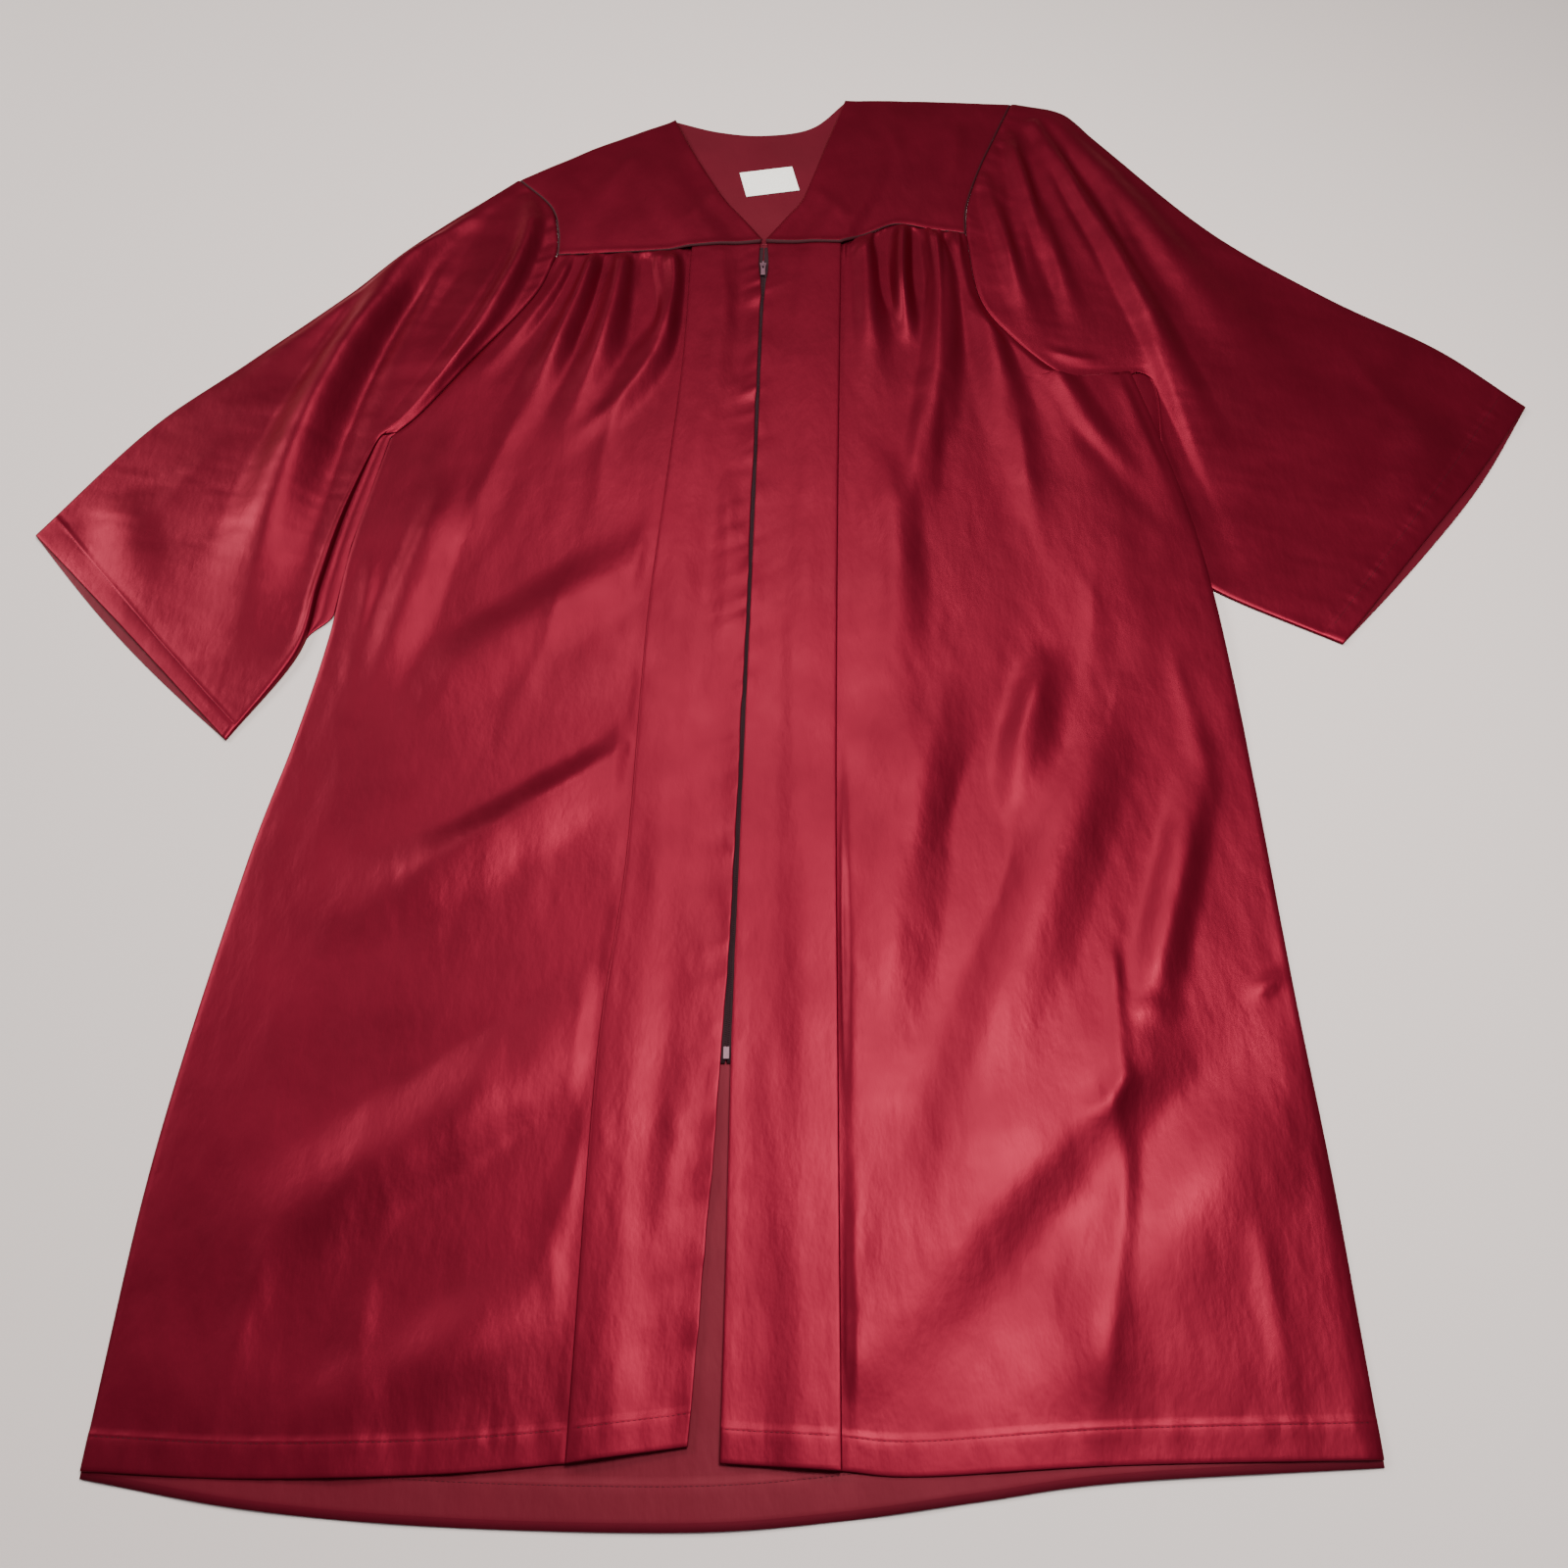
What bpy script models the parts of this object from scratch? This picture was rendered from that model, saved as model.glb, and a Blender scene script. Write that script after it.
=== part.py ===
"""A graduation gown laid flat on its back, front up: satin walls, zip and neck label.

Tables are in millimetres on the surface that the gown lies on. x runs to the right as seen from above,
y towards the neck and z up. The finished gown is moved so that its box stands centred on the origin.
"""

import math
from collections import namedtuple

import bmesh
import bpy
import numpy as np

MM = 0.001

# Cloth and how its layers lie on each other
CLOTH = 1.2
SEAM_GAP = 0.5
SLEEVE_SEAM_GAP = 0.7
LAYER_GAP = 0.3
HEM_TURN = 0.9
BACK_LEVEL = CLOTH / 2
FRONT_LEVEL = BACK_LEVEL + CLOTH + LAYER_GAP
HEM_LOFT = 1.0
HEM_LOFT_REACH = 90.0

# Front bands: a knife pleat folded under along each band's outer edge
PLEAT_DEPTH = 18.0
PLEAT_RADIUS = 0.85
BAND_INNER_LEVEL = 3.4
BAND_OUTER_LEVEL = FRONT_LEVEL + 4 * PLEAT_RADIUS
BAND_SHOULDER = 22.0
BAND_SLOPE = 26.0

# Neck edge, and the soft rise of the yokes over the back
NECK_LEVEL = 3.9
YOKE_RISE = 2.0

# The right side rests on the tucked edge of the right sleeve
TUCK_LIFT = 3.8
TUCK_EXTRA = 1.5
TUCK_EXTRA_REACH = 50.0
TUCK_X = (258.0, 300.0)
TUCK_Y = (692.0, 732.0)
TUCK_TOP = 1014.0

# Outlines, each from the hem or the outer end: the side seam runs on up the armhole to the yoke
LEFT, RIGHT = "left", "right"
INNER_EDGE = {
    LEFT: [(-57, 97), (-50, 215), (-43, 340), (-38.5, 450), (-33, 650), (-28, 870), (-24.5, 1050),
           (-22.5, 1125), (-24.5, 1160), (-23.5, 1196)],
    RIGHT: [(-38, 88), (-37, 215), (-36.5, 340), (-34.5, 450), (-30, 650), (-25, 870), (-21.5, 1050),
            (-18.8, 1125), (-15.5, 1160), (-16.5, 1196)],
}
BAND_EDGE = {
    LEFT: [(-129, 88), (-128, 340), (-117, 493), (-113, 713), (-104, 870), (-95, 1025), (-92, 1188)],
    RIGHT: [(34, 84), (37, 340), (40, 561), (47, 850), (57, 1194)],
}
SIDE_SEAM = {
    LEFT: [(-416, 84), (-417, 272), (-400, 485), (-384, 600), (-374, 700), (-371, 800), (-356, 929)],
    RIGHT: [(356, 90), (360, 250), (360, 391), (362, 560), (361, 660), (355, 800), (338, 925), (323, 1008)],
}
LOWER_ARMHOLE = {
    LEFT: [(-356, 929), (-333, 958), (-296, 1025), (-244, 1117), (-227, 1179)],
    RIGHT: [(323, 1008), (292, 1003), (261, 1006), (220, 1056), (191, 1115), (184, 1212)],
}
UPPER_ARMHOLE = {
    LEFT: [(-227, 1179), (-229, 1215), (-240, 1255), (-276, 1298)],
    RIGHT: [(184, 1212), (188, 1255), (205, 1315), (226, 1372), (248, 1430)],
}
FRONT_HEM = {
    LEFT: [(-129, 88), (-209, 82), (-320, 80), (-416, 84)],
    RIGHT: [(34, 84), (81, 81), (198, 87), (356, 90)],
}
YOKE_SEAM = {
    LEFT: [(-92, 1188), (-140, 1184), (-190, 1181), (-227, 1179)],
    RIGHT: [(57, 1194), (88, 1212), (115, 1226), (150, 1218), (184, 1212)],
}
BAND_TOP = {
    LEFT: [(-23.5, 1196), (-92, 1188)],
    RIGHT: [(-16.5, 1196), (57, 1194)],
}
NECK_EDGE = {
    LEFT: [(-21.5, 1200), (-44, 1246), (-80, 1320), (-117, 1399)],
    RIGHT: [(-18.5, 1200), (2, 1250), (34, 1335), (67, 1434)],
}
SHOULDER = {
    LEFT: [(-276, 1298), (-200, 1351), (-117, 1399)],
    RIGHT: [(248, 1430), (158, 1434), (67, 1434)],
}
BACK_HEM = [(-416, 80), (-315, 64), (-200, 55), (-57, 52), (34, 58), (115, 68), (198, 78), (356, 86)]
BACK_NECK = [(-117, 1399), (-70, 1381), (-21, 1375), (30, 1388), (67, 1434)]
SLEEVE_TOP = {
    LEFT: [(-276, 1298), (-370, 1193), (-424, 1118), (-505, 1021), (-576, 936), (-645, 811)],
    RIGHT: [(248, 1430), (301, 1411), (333, 1362), (428, 1215), (528, 1114), (618, 1042), (682, 966)],
}
SLEEVE_UNDER = {
    LEFT: [(-354, 935), (-364, 930), (-371, 905), (-383, 831), (-390, 755), (-396, 685), (-438, 601)],
    RIGHT: [(324, 1010), (335, 1014), (343, 1003), (345, 975), (340, 925), (334, 850), (345, 778), (366, 748),
            (458, 695)],
}
CUFF = {
    LEFT: [(-645, 811), (-589, 755), (-515, 680), (-438, 601)],
    RIGHT: [(682, 966), (615, 880), (545, 798), (458, 695)],
}
CUFF_PEEK = 8.0

# The sleeve's net: how far down the armhole it reaches, its size and how often it is evened out
ARMHOLE_REACH = {LEFT: 0.985, RIGHT: 1.0}
NET_ROWS = 33
NET_COLUMNS = 49
NET_ROUNDS = 500

# Folds: the crest's start, bend and end, its height and its half width at the start and at the end.
# share is how much of the height stands at the start, 0 for a fold that rises out of flat cloth.
Fold = namedtuple("Fold", "start bend end height start_width end_width share")
FRONT_FOLDS = {
    LEFT: [
        Fold((-120, 1190), (-112, 1070), (-196, 915), 8.0, 12, 32, 0.9),
        Fold((-160, 1188), (-168, 1070), (-214, 880), 8.0, 14, 36, 0.9),
        Fold((-188, 1188), (-208, 1070), (-262, 890), 6.5, 11, 28, 0.9),
        Fold((-213, 1188), (-236, 1110), (-300, 975), 4.5, 10, 20, 0.9),
        Fold((-290, 900), (-312, 740), (-345, 600), 4.5, 26, 34, 0.0),
        Fold((-120, 790), (-225, 700), (-350, 590), 4.5, 44, 44, 0.4),
        Fold((-124, 585), (-235, 503), (-365, 430), 5.0, 46, 46, 0.4),
        Fold((-136, 372), (-258, 272), (-385, 195), 5.0, 52, 52, 0.4),
        Fold((-150, 190), (-235, 130), (-330, 85), 3.5, 40, 40, 0.4),
    ],
    RIGHT: [
        Fold((80, 1212), (84, 1110), (80, 960), 6.5, 13, 26, 0.9),
        Fold((122, 1232), (116, 1130), (121, 1040), 11.0, 12, 15, 0.9),
        Fold((147, 1228), (152, 1060), (106, 790), 10.0, 13, 30, 0.9),
        Fold((170, 1222), (195, 1050), (219, 800), 6.5, 12, 38, 0.9),
        Fold((190, 1110), (250, 1010), (308, 820), 6.0, 12, 28, 0.3),
        Fold((78, 940), (98, 770), (74, 590), 4.0, 26, 32, 0.0),
        Fold((216, 700), (190, 600), (150, 480), 4.5, 28, 32, 0.0),
        Fold((262, 640), (150, 470), (44, 180), 6.5, 28, 50, 0.0),
        Fold((322, 590), (252, 440), (228, 310), 6.0, 24, 22, 0.0),
        Fold((330, 350), (215, 245), (132, 96), 6.0, 40, 46, 0.3),
        Fold((356, 402), (340, 393), (318, 380), 3.0, 9, 8, 0.8),
    ],
}
SLEEVE_FOLDS = {
    LEFT: [
        Fold((-312, 1246), (-452, 1020), (-494, 670), 13.0, 26, 58, 0.2),
        Fold((-258, 1268), (-282, 1090), (-398, 830), 9.0, 14, 24, 0.5),
        Fold((-300, 1268), (-420, 1110), (-560, 900), 4.0, 18, 46, 0.3),
        Fold((-585, 860), (-560, 790), (-520, 690), 3.5, 34, 40, 0.0),
    ],
    RIGHT: [
        Fold((206, 1300), (222, 1180), (240, 1050), 8.0, 12, 17, 0.5),
        Fold((240, 1370), (262, 1200), (286, 1060), 9.0, 13, 20, 0.5),
        Fold((268, 1390), (334, 1150), (402, 840), 9.5, 15, 26, 0.4),
        Fold((286, 1405), (380, 1190), (470, 930), 6.0, 16, 46, 0.3),
        Fold((600, 980), (560, 880), (500, 780), 3.5, 36, 40, 0.0),
    ],
}
SLEEVE_PUFF = 2.4
SLEEVE_EDGE_RADIUS = 0.9
SLEEVE_EDGE_SWELL = {LEFT: 1.4, RIGHT: 0.0}
TOP_EDGE_SWELL = 0.7
CUFF_FOLD_SHARE = 0.55
PANEL_LENGTH = 1110.0
SEAM_FOLD_REACH = 26.0
EDGE_FOLD_REACH = 22.0

# How finely each wall is divided: shares of its length, hem or armhole first
SIDE_ROWS = [0.0, 0.0182, 0.0186, 0.07, 0.14, 0.21, 0.28, 0.35, 0.42, 0.49, 0.55, 0.585, 0.64, 0.70]
BACK_SIDE_ROWS = [0.0, 0.0182, 0.0186, 0.1, 0.25, 0.4, 0.5, 0.55, 0.585, 0.64, 0.70]
ARMHOLE_ROWS = [0.0, 0.1, 0.22, 0.35, 0.48, 0.62, 0.76, 0.9, 0.965, 1.0]
HEM_END = 0.0184
FRONT_COLUMNS = 21
BACK_COLUMNS = [0.0, 0.12, 0.28, 0.45, 0.6, 0.74, 0.83, 0.875, 0.91, 0.94, 0.965, 0.985, 1.0]
SLEEVE_ROWS = [0.0, 0.025, 0.065, 0.12, 0.19, 0.27, 0.36, 0.46, 0.56, 0.66, 0.76, 0.86, 0.935, 0.962, 0.9625, 1.0]
SLEEVE_HEM_START = 0.9624
SLEEVE_COLUMNS = 19
SLEEVE_UNDER_COLUMNS = 9
YOKE_ROWS = 7

# Zip
ZIP_TOP = (-20.0, 1190.0)
ZIP_END = (-39.8, 336.0)
TAPE_WIDTH = 13.0
TAPE_THICKNESS = 1.0
TAPE_PARTING = 0.6
TAPE_LEVEL = CLOTH + LAYER_GAP + TAPE_THICKNESS / 2
TAPE_ROWS = 9
ZIP_TOP_OF_TAPE = TAPE_LEVEL + TAPE_THICKNESS / 2
SLIDER_Y = 1160.0
SLIDER_SIZE = (6.6, 8.5, 1.8)
SLIDER_BOTTOM = ZIP_TOP_OF_TAPE + LAYER_GAP
SLIDER_NOSE = 0.62
BRIDGE_WIDTH = 1.6
BRIDGE_THICKNESS = 0.8
BRIDGE_POST = 0.9
BRIDGE_HALF_LENGTH = 3.4
BRIDGE_OPENING = 1.8
PULL_PIVOT_Y = SLIDER_Y + 1.6
PULL_PIVOT_Z = SLIDER_BOTTOM + SLIDER_SIZE[2] + 0.9
PULL_BAR_RADIUS = 0.5
PULL_WIDTH = 4.4
PULL_BAR_WIDTH = 0.9
PULL_THICKNESS = 1.0
PULL_EYE_LENGTH = 7.2
PULL_LENGTH = 16.5
STOP_Y = 343.0
STOP_SIZE = (4.2, 9.0, 1.4)

# Blank neck label, sewn to the inside of the back yoke
LABEL_CENTRE = (-15.2, 1296.0)
LABEL_SIZE = (56.0, 40.0)
LABEL_THICKNESS = 1.0
LABEL_TURN = math.radians(11.0)

# Materials: colour, roughness, metallic
SATIN = ("gown_satin", (0.30, 0.020, 0.035), 0.42, 0.0)
TAPE = ("zip_tape", (0.10, 0.012, 0.03), 0.8, 0.0)
ZIP_METAL = ("zip_metal", (0.28, 0.13, 0.18), 0.35, 0.6)
LABEL = ("label_white", (0.85, 0.85, 0.83), 0.6, 0.0)


def smooth(value):
    value = np.clip(value, 0.0, 1.0)
    return value * value * (3.0 - 2.0 * value)


def point_on(points, share, level=0.0):
    """Points at shares of the length of the smooth curve through the given ones."""
    points = np.array(points, float)
    ends = np.vstack([2 * points[0] - points[1], points, 2 * points[-1] - points[-2]])
    steps = np.linspace(0.0, 1.0, 17)[:, None]
    fine = []
    for before, start, end, after in zip(ends, ends[1:], ends[2:], ends[3:]):
        leave = (end - before) / 2
        arrive = (after - start) / 2
        fine.append(
            start * (2 * steps**3 - 3 * steps**2 + 1)
            + leave * (steps**3 - 2 * steps**2 + steps)
            + end * (3 * steps**2 - 2 * steps**3)
            + arrive * (steps**3 - steps**2)
        )
    fine = np.vstack(fine)
    run = np.concatenate([[0.0], np.cumsum(np.hypot(*np.diff(fine, axis=0).T))])
    share = np.atleast_1d(share) * run[-1]
    flat = np.column_stack([np.interp(share, run, fine[:, 0]), np.interp(share, run, fine[:, 1])])
    return np.column_stack([flat, np.full(len(flat), level)])


def underarm(side):
    """The share of a panel's side at which the side seam ends and the armhole begins."""
    seam, armhole = (
        np.hypot(*np.diff(np.array(table[side], float), axis=0).T).sum() for table in (SIDE_SEAM, LOWER_ARMHOLE)
    )
    return seam / (seam + armhole)


def side_line(side, below):
    """The rows of a panel and the points of its side: the given rows of the seam, then those of the armhole."""
    corner = underarm(side)
    rows = np.concatenate([below, corner + (1.0 - corner) * np.array(ARMHOLE_ROWS)])
    low = point_on(SIDE_SEAM[side], np.array(below) / corner)
    return rows, np.vstack([low, point_on(LOWER_ARMHOLE[side], ARMHOLE_ROWS)])


def whole_armhole(side):
    """The armhole's corners as the body has them, from the shoulder to the underarm."""
    upper = point_on(UPPER_ARMHOLE[side], np.linspace(1.0, 0.0, YOKE_ROWS))
    return np.vstack([upper, point_on(LOWER_ARMHOLE[side], ARMHOLE_ROWS)[-2::-1]])


def along_line(points, share):
    """Points at shares of a line with corners."""
    run = np.concatenate([[0.0], np.cumsum(np.linalg.norm(np.diff(points, axis=0), axis=1))])
    return np.column_stack([np.interp(share * run[-1], run, points[:, axis]) for axis in range(3)])


def patch(bottom, top, left, right, across, along):
    """A surface between four edges. Its rows run from bottom to top and its columns from left to right."""
    u = np.asarray(across)[None, :, None]
    v = np.asarray(along)[:, None, None]
    corners = (
        (1 - u) * (1 - v) * bottom[0] + u * (1 - v) * bottom[-1] + (1 - u) * v * top[0] + u * v * top[-1]
    )
    return (1 - v) * bottom[None] + v * top[None] + (1 - u) * left[:, None] + u * right[:, None] - corners


def fold_height(folds, x, y):
    """The height of all folds over points of the plan."""
    total = np.zeros(np.shape(x))
    steps = np.linspace(0.0, 1.0, 25)
    for fold in folds:
        start, bend, end = (np.array(p, float) for p in (fold.start, fold.bend, fold.end))
        control = 2 * bend - (start + end) / 2
        crest = (
            ((1 - steps) ** 2)[:, None] * start
            + (2 * steps * (1 - steps))[:, None] * control
            + (steps**2)[:, None] * end
        )
        away = np.hypot(x[..., None] - crest[:, 0], y[..., None] - crest[:, 1])
        along = steps[away.argmin(axis=-1)]
        width = fold.start_width + (fold.end_width - fold.start_width) * along
        rise = fold.share + (1 - fold.share) * smooth(along / 0.3)
        fade = 1.0 - smooth((along - 0.45) / 0.55)
        across = np.clip(away.min(axis=-1) / width, 0.0, 1.0)
        total += fold.height * rise * fade * np.cos(across * math.pi / 2) ** 2
    return total


def tuck_lift(x, y):
    """How far the right side is held up by the sleeve under it."""
    return TUCK_LIFT * smooth((x - TUCK_X[0]) / (TUCK_X[1] - TUCK_X[0])) * smooth(
        (y - TUCK_Y[0]) / (TUCK_Y[1] - TUCK_Y[0])
    )


def clear_of_body(x, y):
    """0 where the right sleeve is tucked under the side, rising to 1 a little outside it."""
    side = np.array(SIDE_SEAM[RIGHT], float)
    from_side = x - np.interp(y, side[:, 1], side[:, 0])
    return np.where(y < TUCK_TOP, smooth((from_side - 2.0) / EDGE_FOLD_REACH), smooth((y - TUCK_TOP) / 6.0))


def hem_loft(y):
    return HEM_LOFT * (1.0 - smooth((y - 100.0) / HEM_LOFT_REACH))


def unit(vectors):
    return vectors / np.maximum(np.linalg.norm(vectors, axis=-1, keepdims=True), 1e-9)


def normals(grid, ring):
    """The outward direction at each point of a grid, and the lengthening that keeps a bent wall even."""
    if ring:
        grid = np.concatenate([grid[:, -1:], grid, grid[:, :1]], axis=1)
    faces = unit(np.cross(grid[1:, 1:] - grid[:-1, :-1], grid[1:, :-1] - grid[:-1, 1:]))
    total = np.zeros(grid.shape)
    count = np.zeros(grid.shape[:2])
    corners = [(slice(None, -1), slice(None, -1)), (slice(None, -1), slice(1, None)),
               (slice(1, None), slice(None, -1)), (slice(1, None), slice(1, None))]
    for corner in corners:
        total[corner] += faces
        count[corner] += 1
    normal = unit(total)
    lean = np.zeros(grid.shape[:2])
    for corner in corners:
        lean[corner] += (faces * normal[corner]).sum(axis=-1)
    longer = 1.0 / np.clip(lean / count, 0.75, 1.0)
    return (normal[:, 1:-1], longer[:, 1:-1]) if ring else (normal, longer)


def new_object(name, mesh_of, material):
    mesh = bpy.data.meshes.new(name)
    mesh_of.to_mesh(mesh)
    mesh_of.free()
    mesh.materials.append(material)
    made = bpy.data.objects.new(name, mesh)
    bpy.data.collections["Graduation gown"].objects.link(made)
    return made


def wall(name, grid, material, thickness=CLOTH, raised=None, ring=False):
    """A cloth wall through a grid of points at its middle, with raised outer points where a hem is turned."""
    normal, longer = normals(grid, ring)
    half = (thickness / 2 * longer)[..., None]
    extra = 0.0 if raised is None else raised[..., None]
    outer = grid + normal * (half + extra)
    inner = grid - normal * half
    for skin in (outer, inner):
        skin[..., 2] = np.maximum(skin[..., 2], 0.0)
    rows, columns = grid.shape[:2]
    shape = bmesh.new()
    skins = [
        [[shape.verts.new(skin[row, column] * MM) for column in range(columns)] for row in range(rows)]
        for skin in (outer, inner)
    ]
    last = columns if ring else columns - 1
    for skin in skins:
        for row in range(rows - 1):
            for column in range(last):
                beside = (column + 1) % columns
                shape.faces.new(
                    (skin[row][column], skin[row][beside], skin[row + 1][beside], skin[row + 1][column])
                )
    top, under = skins
    for row in (0, rows - 1):
        for column in range(last):
            beside = (column + 1) % columns
            shape.faces.new((top[row][column], top[row][beside], under[row][beside], under[row][column]))
    if not ring:
        for column in (0, columns - 1):
            for row in range(rows - 1):
                shape.faces.new(
                    (top[row][column], top[row + 1][column], under[row + 1][column], under[row][column])
                )
    bmesh.ops.recalc_face_normals(shape, faces=shape.faces)
    return new_object(name, shape, material)


def band_level(from_edge):
    """The middle of a band's top layer, by the distance from its folded outer edge."""
    drop = smooth((from_edge - BAND_SHOULDER) / BAND_SLOPE)
    return BAND_OUTER_LEVEL + (BAND_INNER_LEVEL - BAND_OUTER_LEVEL) * drop


def front_panel(side, material):
    """One front: its band, the knife pleat under the band's edge and the gathered side, in one wall."""
    rows, seam = side_line(side, SIDE_ROWS)
    inner = point_on(INNER_EDGE[side], rows)
    edge = point_on(BAND_EDGE[side], rows)
    across = np.linspace(0.0, 1.0, FRONT_COLUMNS)
    hem = point_on(FRONT_HEM[side], across)
    top = point_on(YOKE_SEAM[side], across)
    spread = patch(hem, top, edge, seam, across, rows)
    spread[..., 1] -= SEAM_GAP * rows[:, None]
    inner[:, 1] -= SEAM_GAP * rows
    edge[:, 1] -= SEAM_GAP * rows

    outward = unit(edge - inner)
    width = np.linalg.norm(edge - inner, axis=1)
    loft = hem_loft(edge[:, 1])
    columns = []
    turned = []

    def add(from_edge, level, hem_turn):
        point = edge - outward * from_edge[:, None]
        point[:, 2] = level + loft
        columns.append(point)
        turned.append(np.full(len(rows), hem_turn))

    for share in (1.0, 0.7, 0.48, 0.26):
        from_edge = width * share
        add(from_edge, band_level(from_edge), HEM_TURN)
    add(np.full(len(rows), 4.0), BAND_OUTER_LEVEL, HEM_TURN)
    add(np.full(len(rows), PLEAT_RADIUS), BAND_OUTER_LEVEL, 0.0)
    fold_level = BAND_OUTER_LEVEL - PLEAT_RADIUS
    for angle in (45, 0, -45, -90):
        bend = math.radians(angle)
        from_edge = PLEAT_RADIUS * (1 - math.cos(bend))
        add(np.full(len(rows), from_edge), fold_level + PLEAT_RADIUS * math.sin(bend), 0.0)
    fold_level = FRONT_LEVEL + PLEAT_RADIUS
    for angle in (90, 45, 0, -45, -90):
        bend = math.radians(angle)
        from_edge = PLEAT_DEPTH - PLEAT_RADIUS * (1 - math.cos(bend))
        add(np.full(len(rows), from_edge), fold_level + PLEAT_RADIUS * math.sin(bend), 0.0)
    add(np.full(len(rows), 2.0), FRONT_LEVEL, 0.0)

    x, y = spread[..., 0], spread[..., 1]
    from_band = np.hypot(x - edge[:, None, 0], y - edge[:, None, 1])
    from_seam = np.hypot(x - seam[:, None, 0], y - seam[:, None, 1])
    from_yoke = (1.0 - rows)[:, None] * PANEL_LENGTH
    free = (
        smooth((from_band - 3.0) / 14.0)
        * smooth(from_seam / EDGE_FOLD_REACH)
        * (0.06 + 0.94 * smooth(from_yoke / SEAM_FOLD_REACH))
        * (0.35 + 0.65 * smooth((y - 90.0) / 60.0))
    )
    extra = TUCK_EXTRA * smooth(1 + (x - TUCK_X[0]) / TUCK_EXTRA_REACH) * smooth(
        1 + (y - TUCK_Y[0]) / TUCK_EXTRA_REACH
    )
    lift = tuck_lift(x, y) + extra if side == RIGHT else 0.0
    spread[..., 2] = FRONT_LEVEL + lift + hem_loft(y) + free * fold_height(FRONT_FOLDS[side], x, y)

    grid = np.concatenate([np.stack(columns, axis=1), spread[:, 1:]], axis=1)
    turned = np.concatenate([np.stack(turned, axis=1), np.full(spread[:, 1:].shape[:2], HEM_TURN)], axis=1)
    in_hem = (rows <= HEM_END)[:, None]
    if side == LEFT:
        grid = grid[:, ::-1]
        turned = turned[:, ::-1]
    return wall("front_panel_" + side, grid, material, raised=turned * in_hem)


def front_yoke(side, material):
    """One front yoke, from its seam up to the shoulder, between armhole and neck edge."""
    rows = np.linspace(0.0, 1.0, YOKE_ROWS)
    band_share = np.linspace(0.0, 1.0, 4)[:-1]
    side_share = np.linspace(0.0, 1.0, FRONT_COLUMNS)
    band_top = point_on(BAND_TOP[side], band_share)
    gathered = point_on(YOKE_SEAM[side], side_share)
    bottom = np.vstack([band_top, gathered])
    bottom[:, 1] += SEAM_GAP
    from_edge = np.abs(bottom[:, 0] - gathered[0, 0])
    bottom[:, 2] = np.concatenate(
        [band_level(from_edge[:3]), FRONT_LEVEL + (BAND_OUTER_LEVEL - FRONT_LEVEL) * (1 - smooth(from_edge[3:] / 26))]
    )
    run = np.concatenate([[0.0], np.cumsum(np.hypot(*np.diff(bottom[:, :2], axis=0).T))])
    across = run / run[-1]
    neck = point_on(NECK_EDGE[side], rows, NECK_LEVEL)
    neck[0] = bottom[0]
    armhole = point_on(UPPER_ARMHOLE[side], rows, FRONT_LEVEL)
    armhole[0] = bottom[-1]
    top = point_on(SHOULDER[side], 1.0 - across, FRONT_LEVEL)
    neck[-1] = top[0]
    grid = patch(bottom, top, neck, armhole, across, rows)
    bulge = np.sin(math.pi * across)[None, :] * np.sin(math.pi * rows)[:, None]
    grid[..., 2] += YOKE_RISE * bulge
    if side == LEFT:
        grid = grid[:, ::-1]
    return wall("front_yoke_" + side, grid, material)


def back_panel(material):
    """The back below its yoke. It lies flat but where the right sleeve is tucked under it."""
    across = np.array(BACK_COLUMNS)
    rows, left = side_line(LEFT, BACK_SIDE_ROWS)
    right = side_line(RIGHT, BACK_SIDE_ROWS)[1]
    bottom = point_on(BACK_HEM, across)
    left[0], right[0] = bottom[0], bottom[-1]
    top = left[-1] + across[:, None] * (right[-1] - left[-1])
    grid = patch(bottom, top, left, right, across, rows)
    grid[..., 1] -= SEAM_GAP * rows[:, None]
    grid[..., 2] = BACK_LEVEL + tuck_lift(grid[..., 0], grid[..., 1])
    turned = np.where((rows <= HEM_END)[:, None], HEM_TURN, 0.0) * np.ones(grid.shape[:2])
    return wall("back_panel", grid, material, raised=turned)


def back_yoke(material):
    rows = np.linspace(0.0, 1.0, YOKE_ROWS)
    shoulder = np.linspace(0.0, 1.0, 4)
    neck = np.linspace(0.0, 1.0, 7)
    top = np.vstack(
        [
            point_on(SHOULDER[LEFT], shoulder[:-1], BACK_LEVEL),
            point_on(BACK_NECK, neck[:-1], BACK_LEVEL),
            point_on(SHOULDER[RIGHT], 1.0 - shoulder, BACK_LEVEL),
        ]
    )
    run = np.concatenate([[0.0], np.cumsum(np.hypot(*np.diff(top[:, :2], axis=0).T))])
    across = run / run[-1]
    left = point_on(UPPER_ARMHOLE[LEFT], rows, BACK_LEVEL)
    right = point_on(UPPER_ARMHOLE[RIGHT], rows, BACK_LEVEL)
    bottom = left[0] + across[:, None] * (right[0] - left[0])
    bottom[:, 1] += SEAM_GAP
    left[0], right[0] = bottom[0], bottom[-1]
    grid = patch(bottom, top, left, right, across, rows)
    return wall("back_yoke", grid, material)


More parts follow.
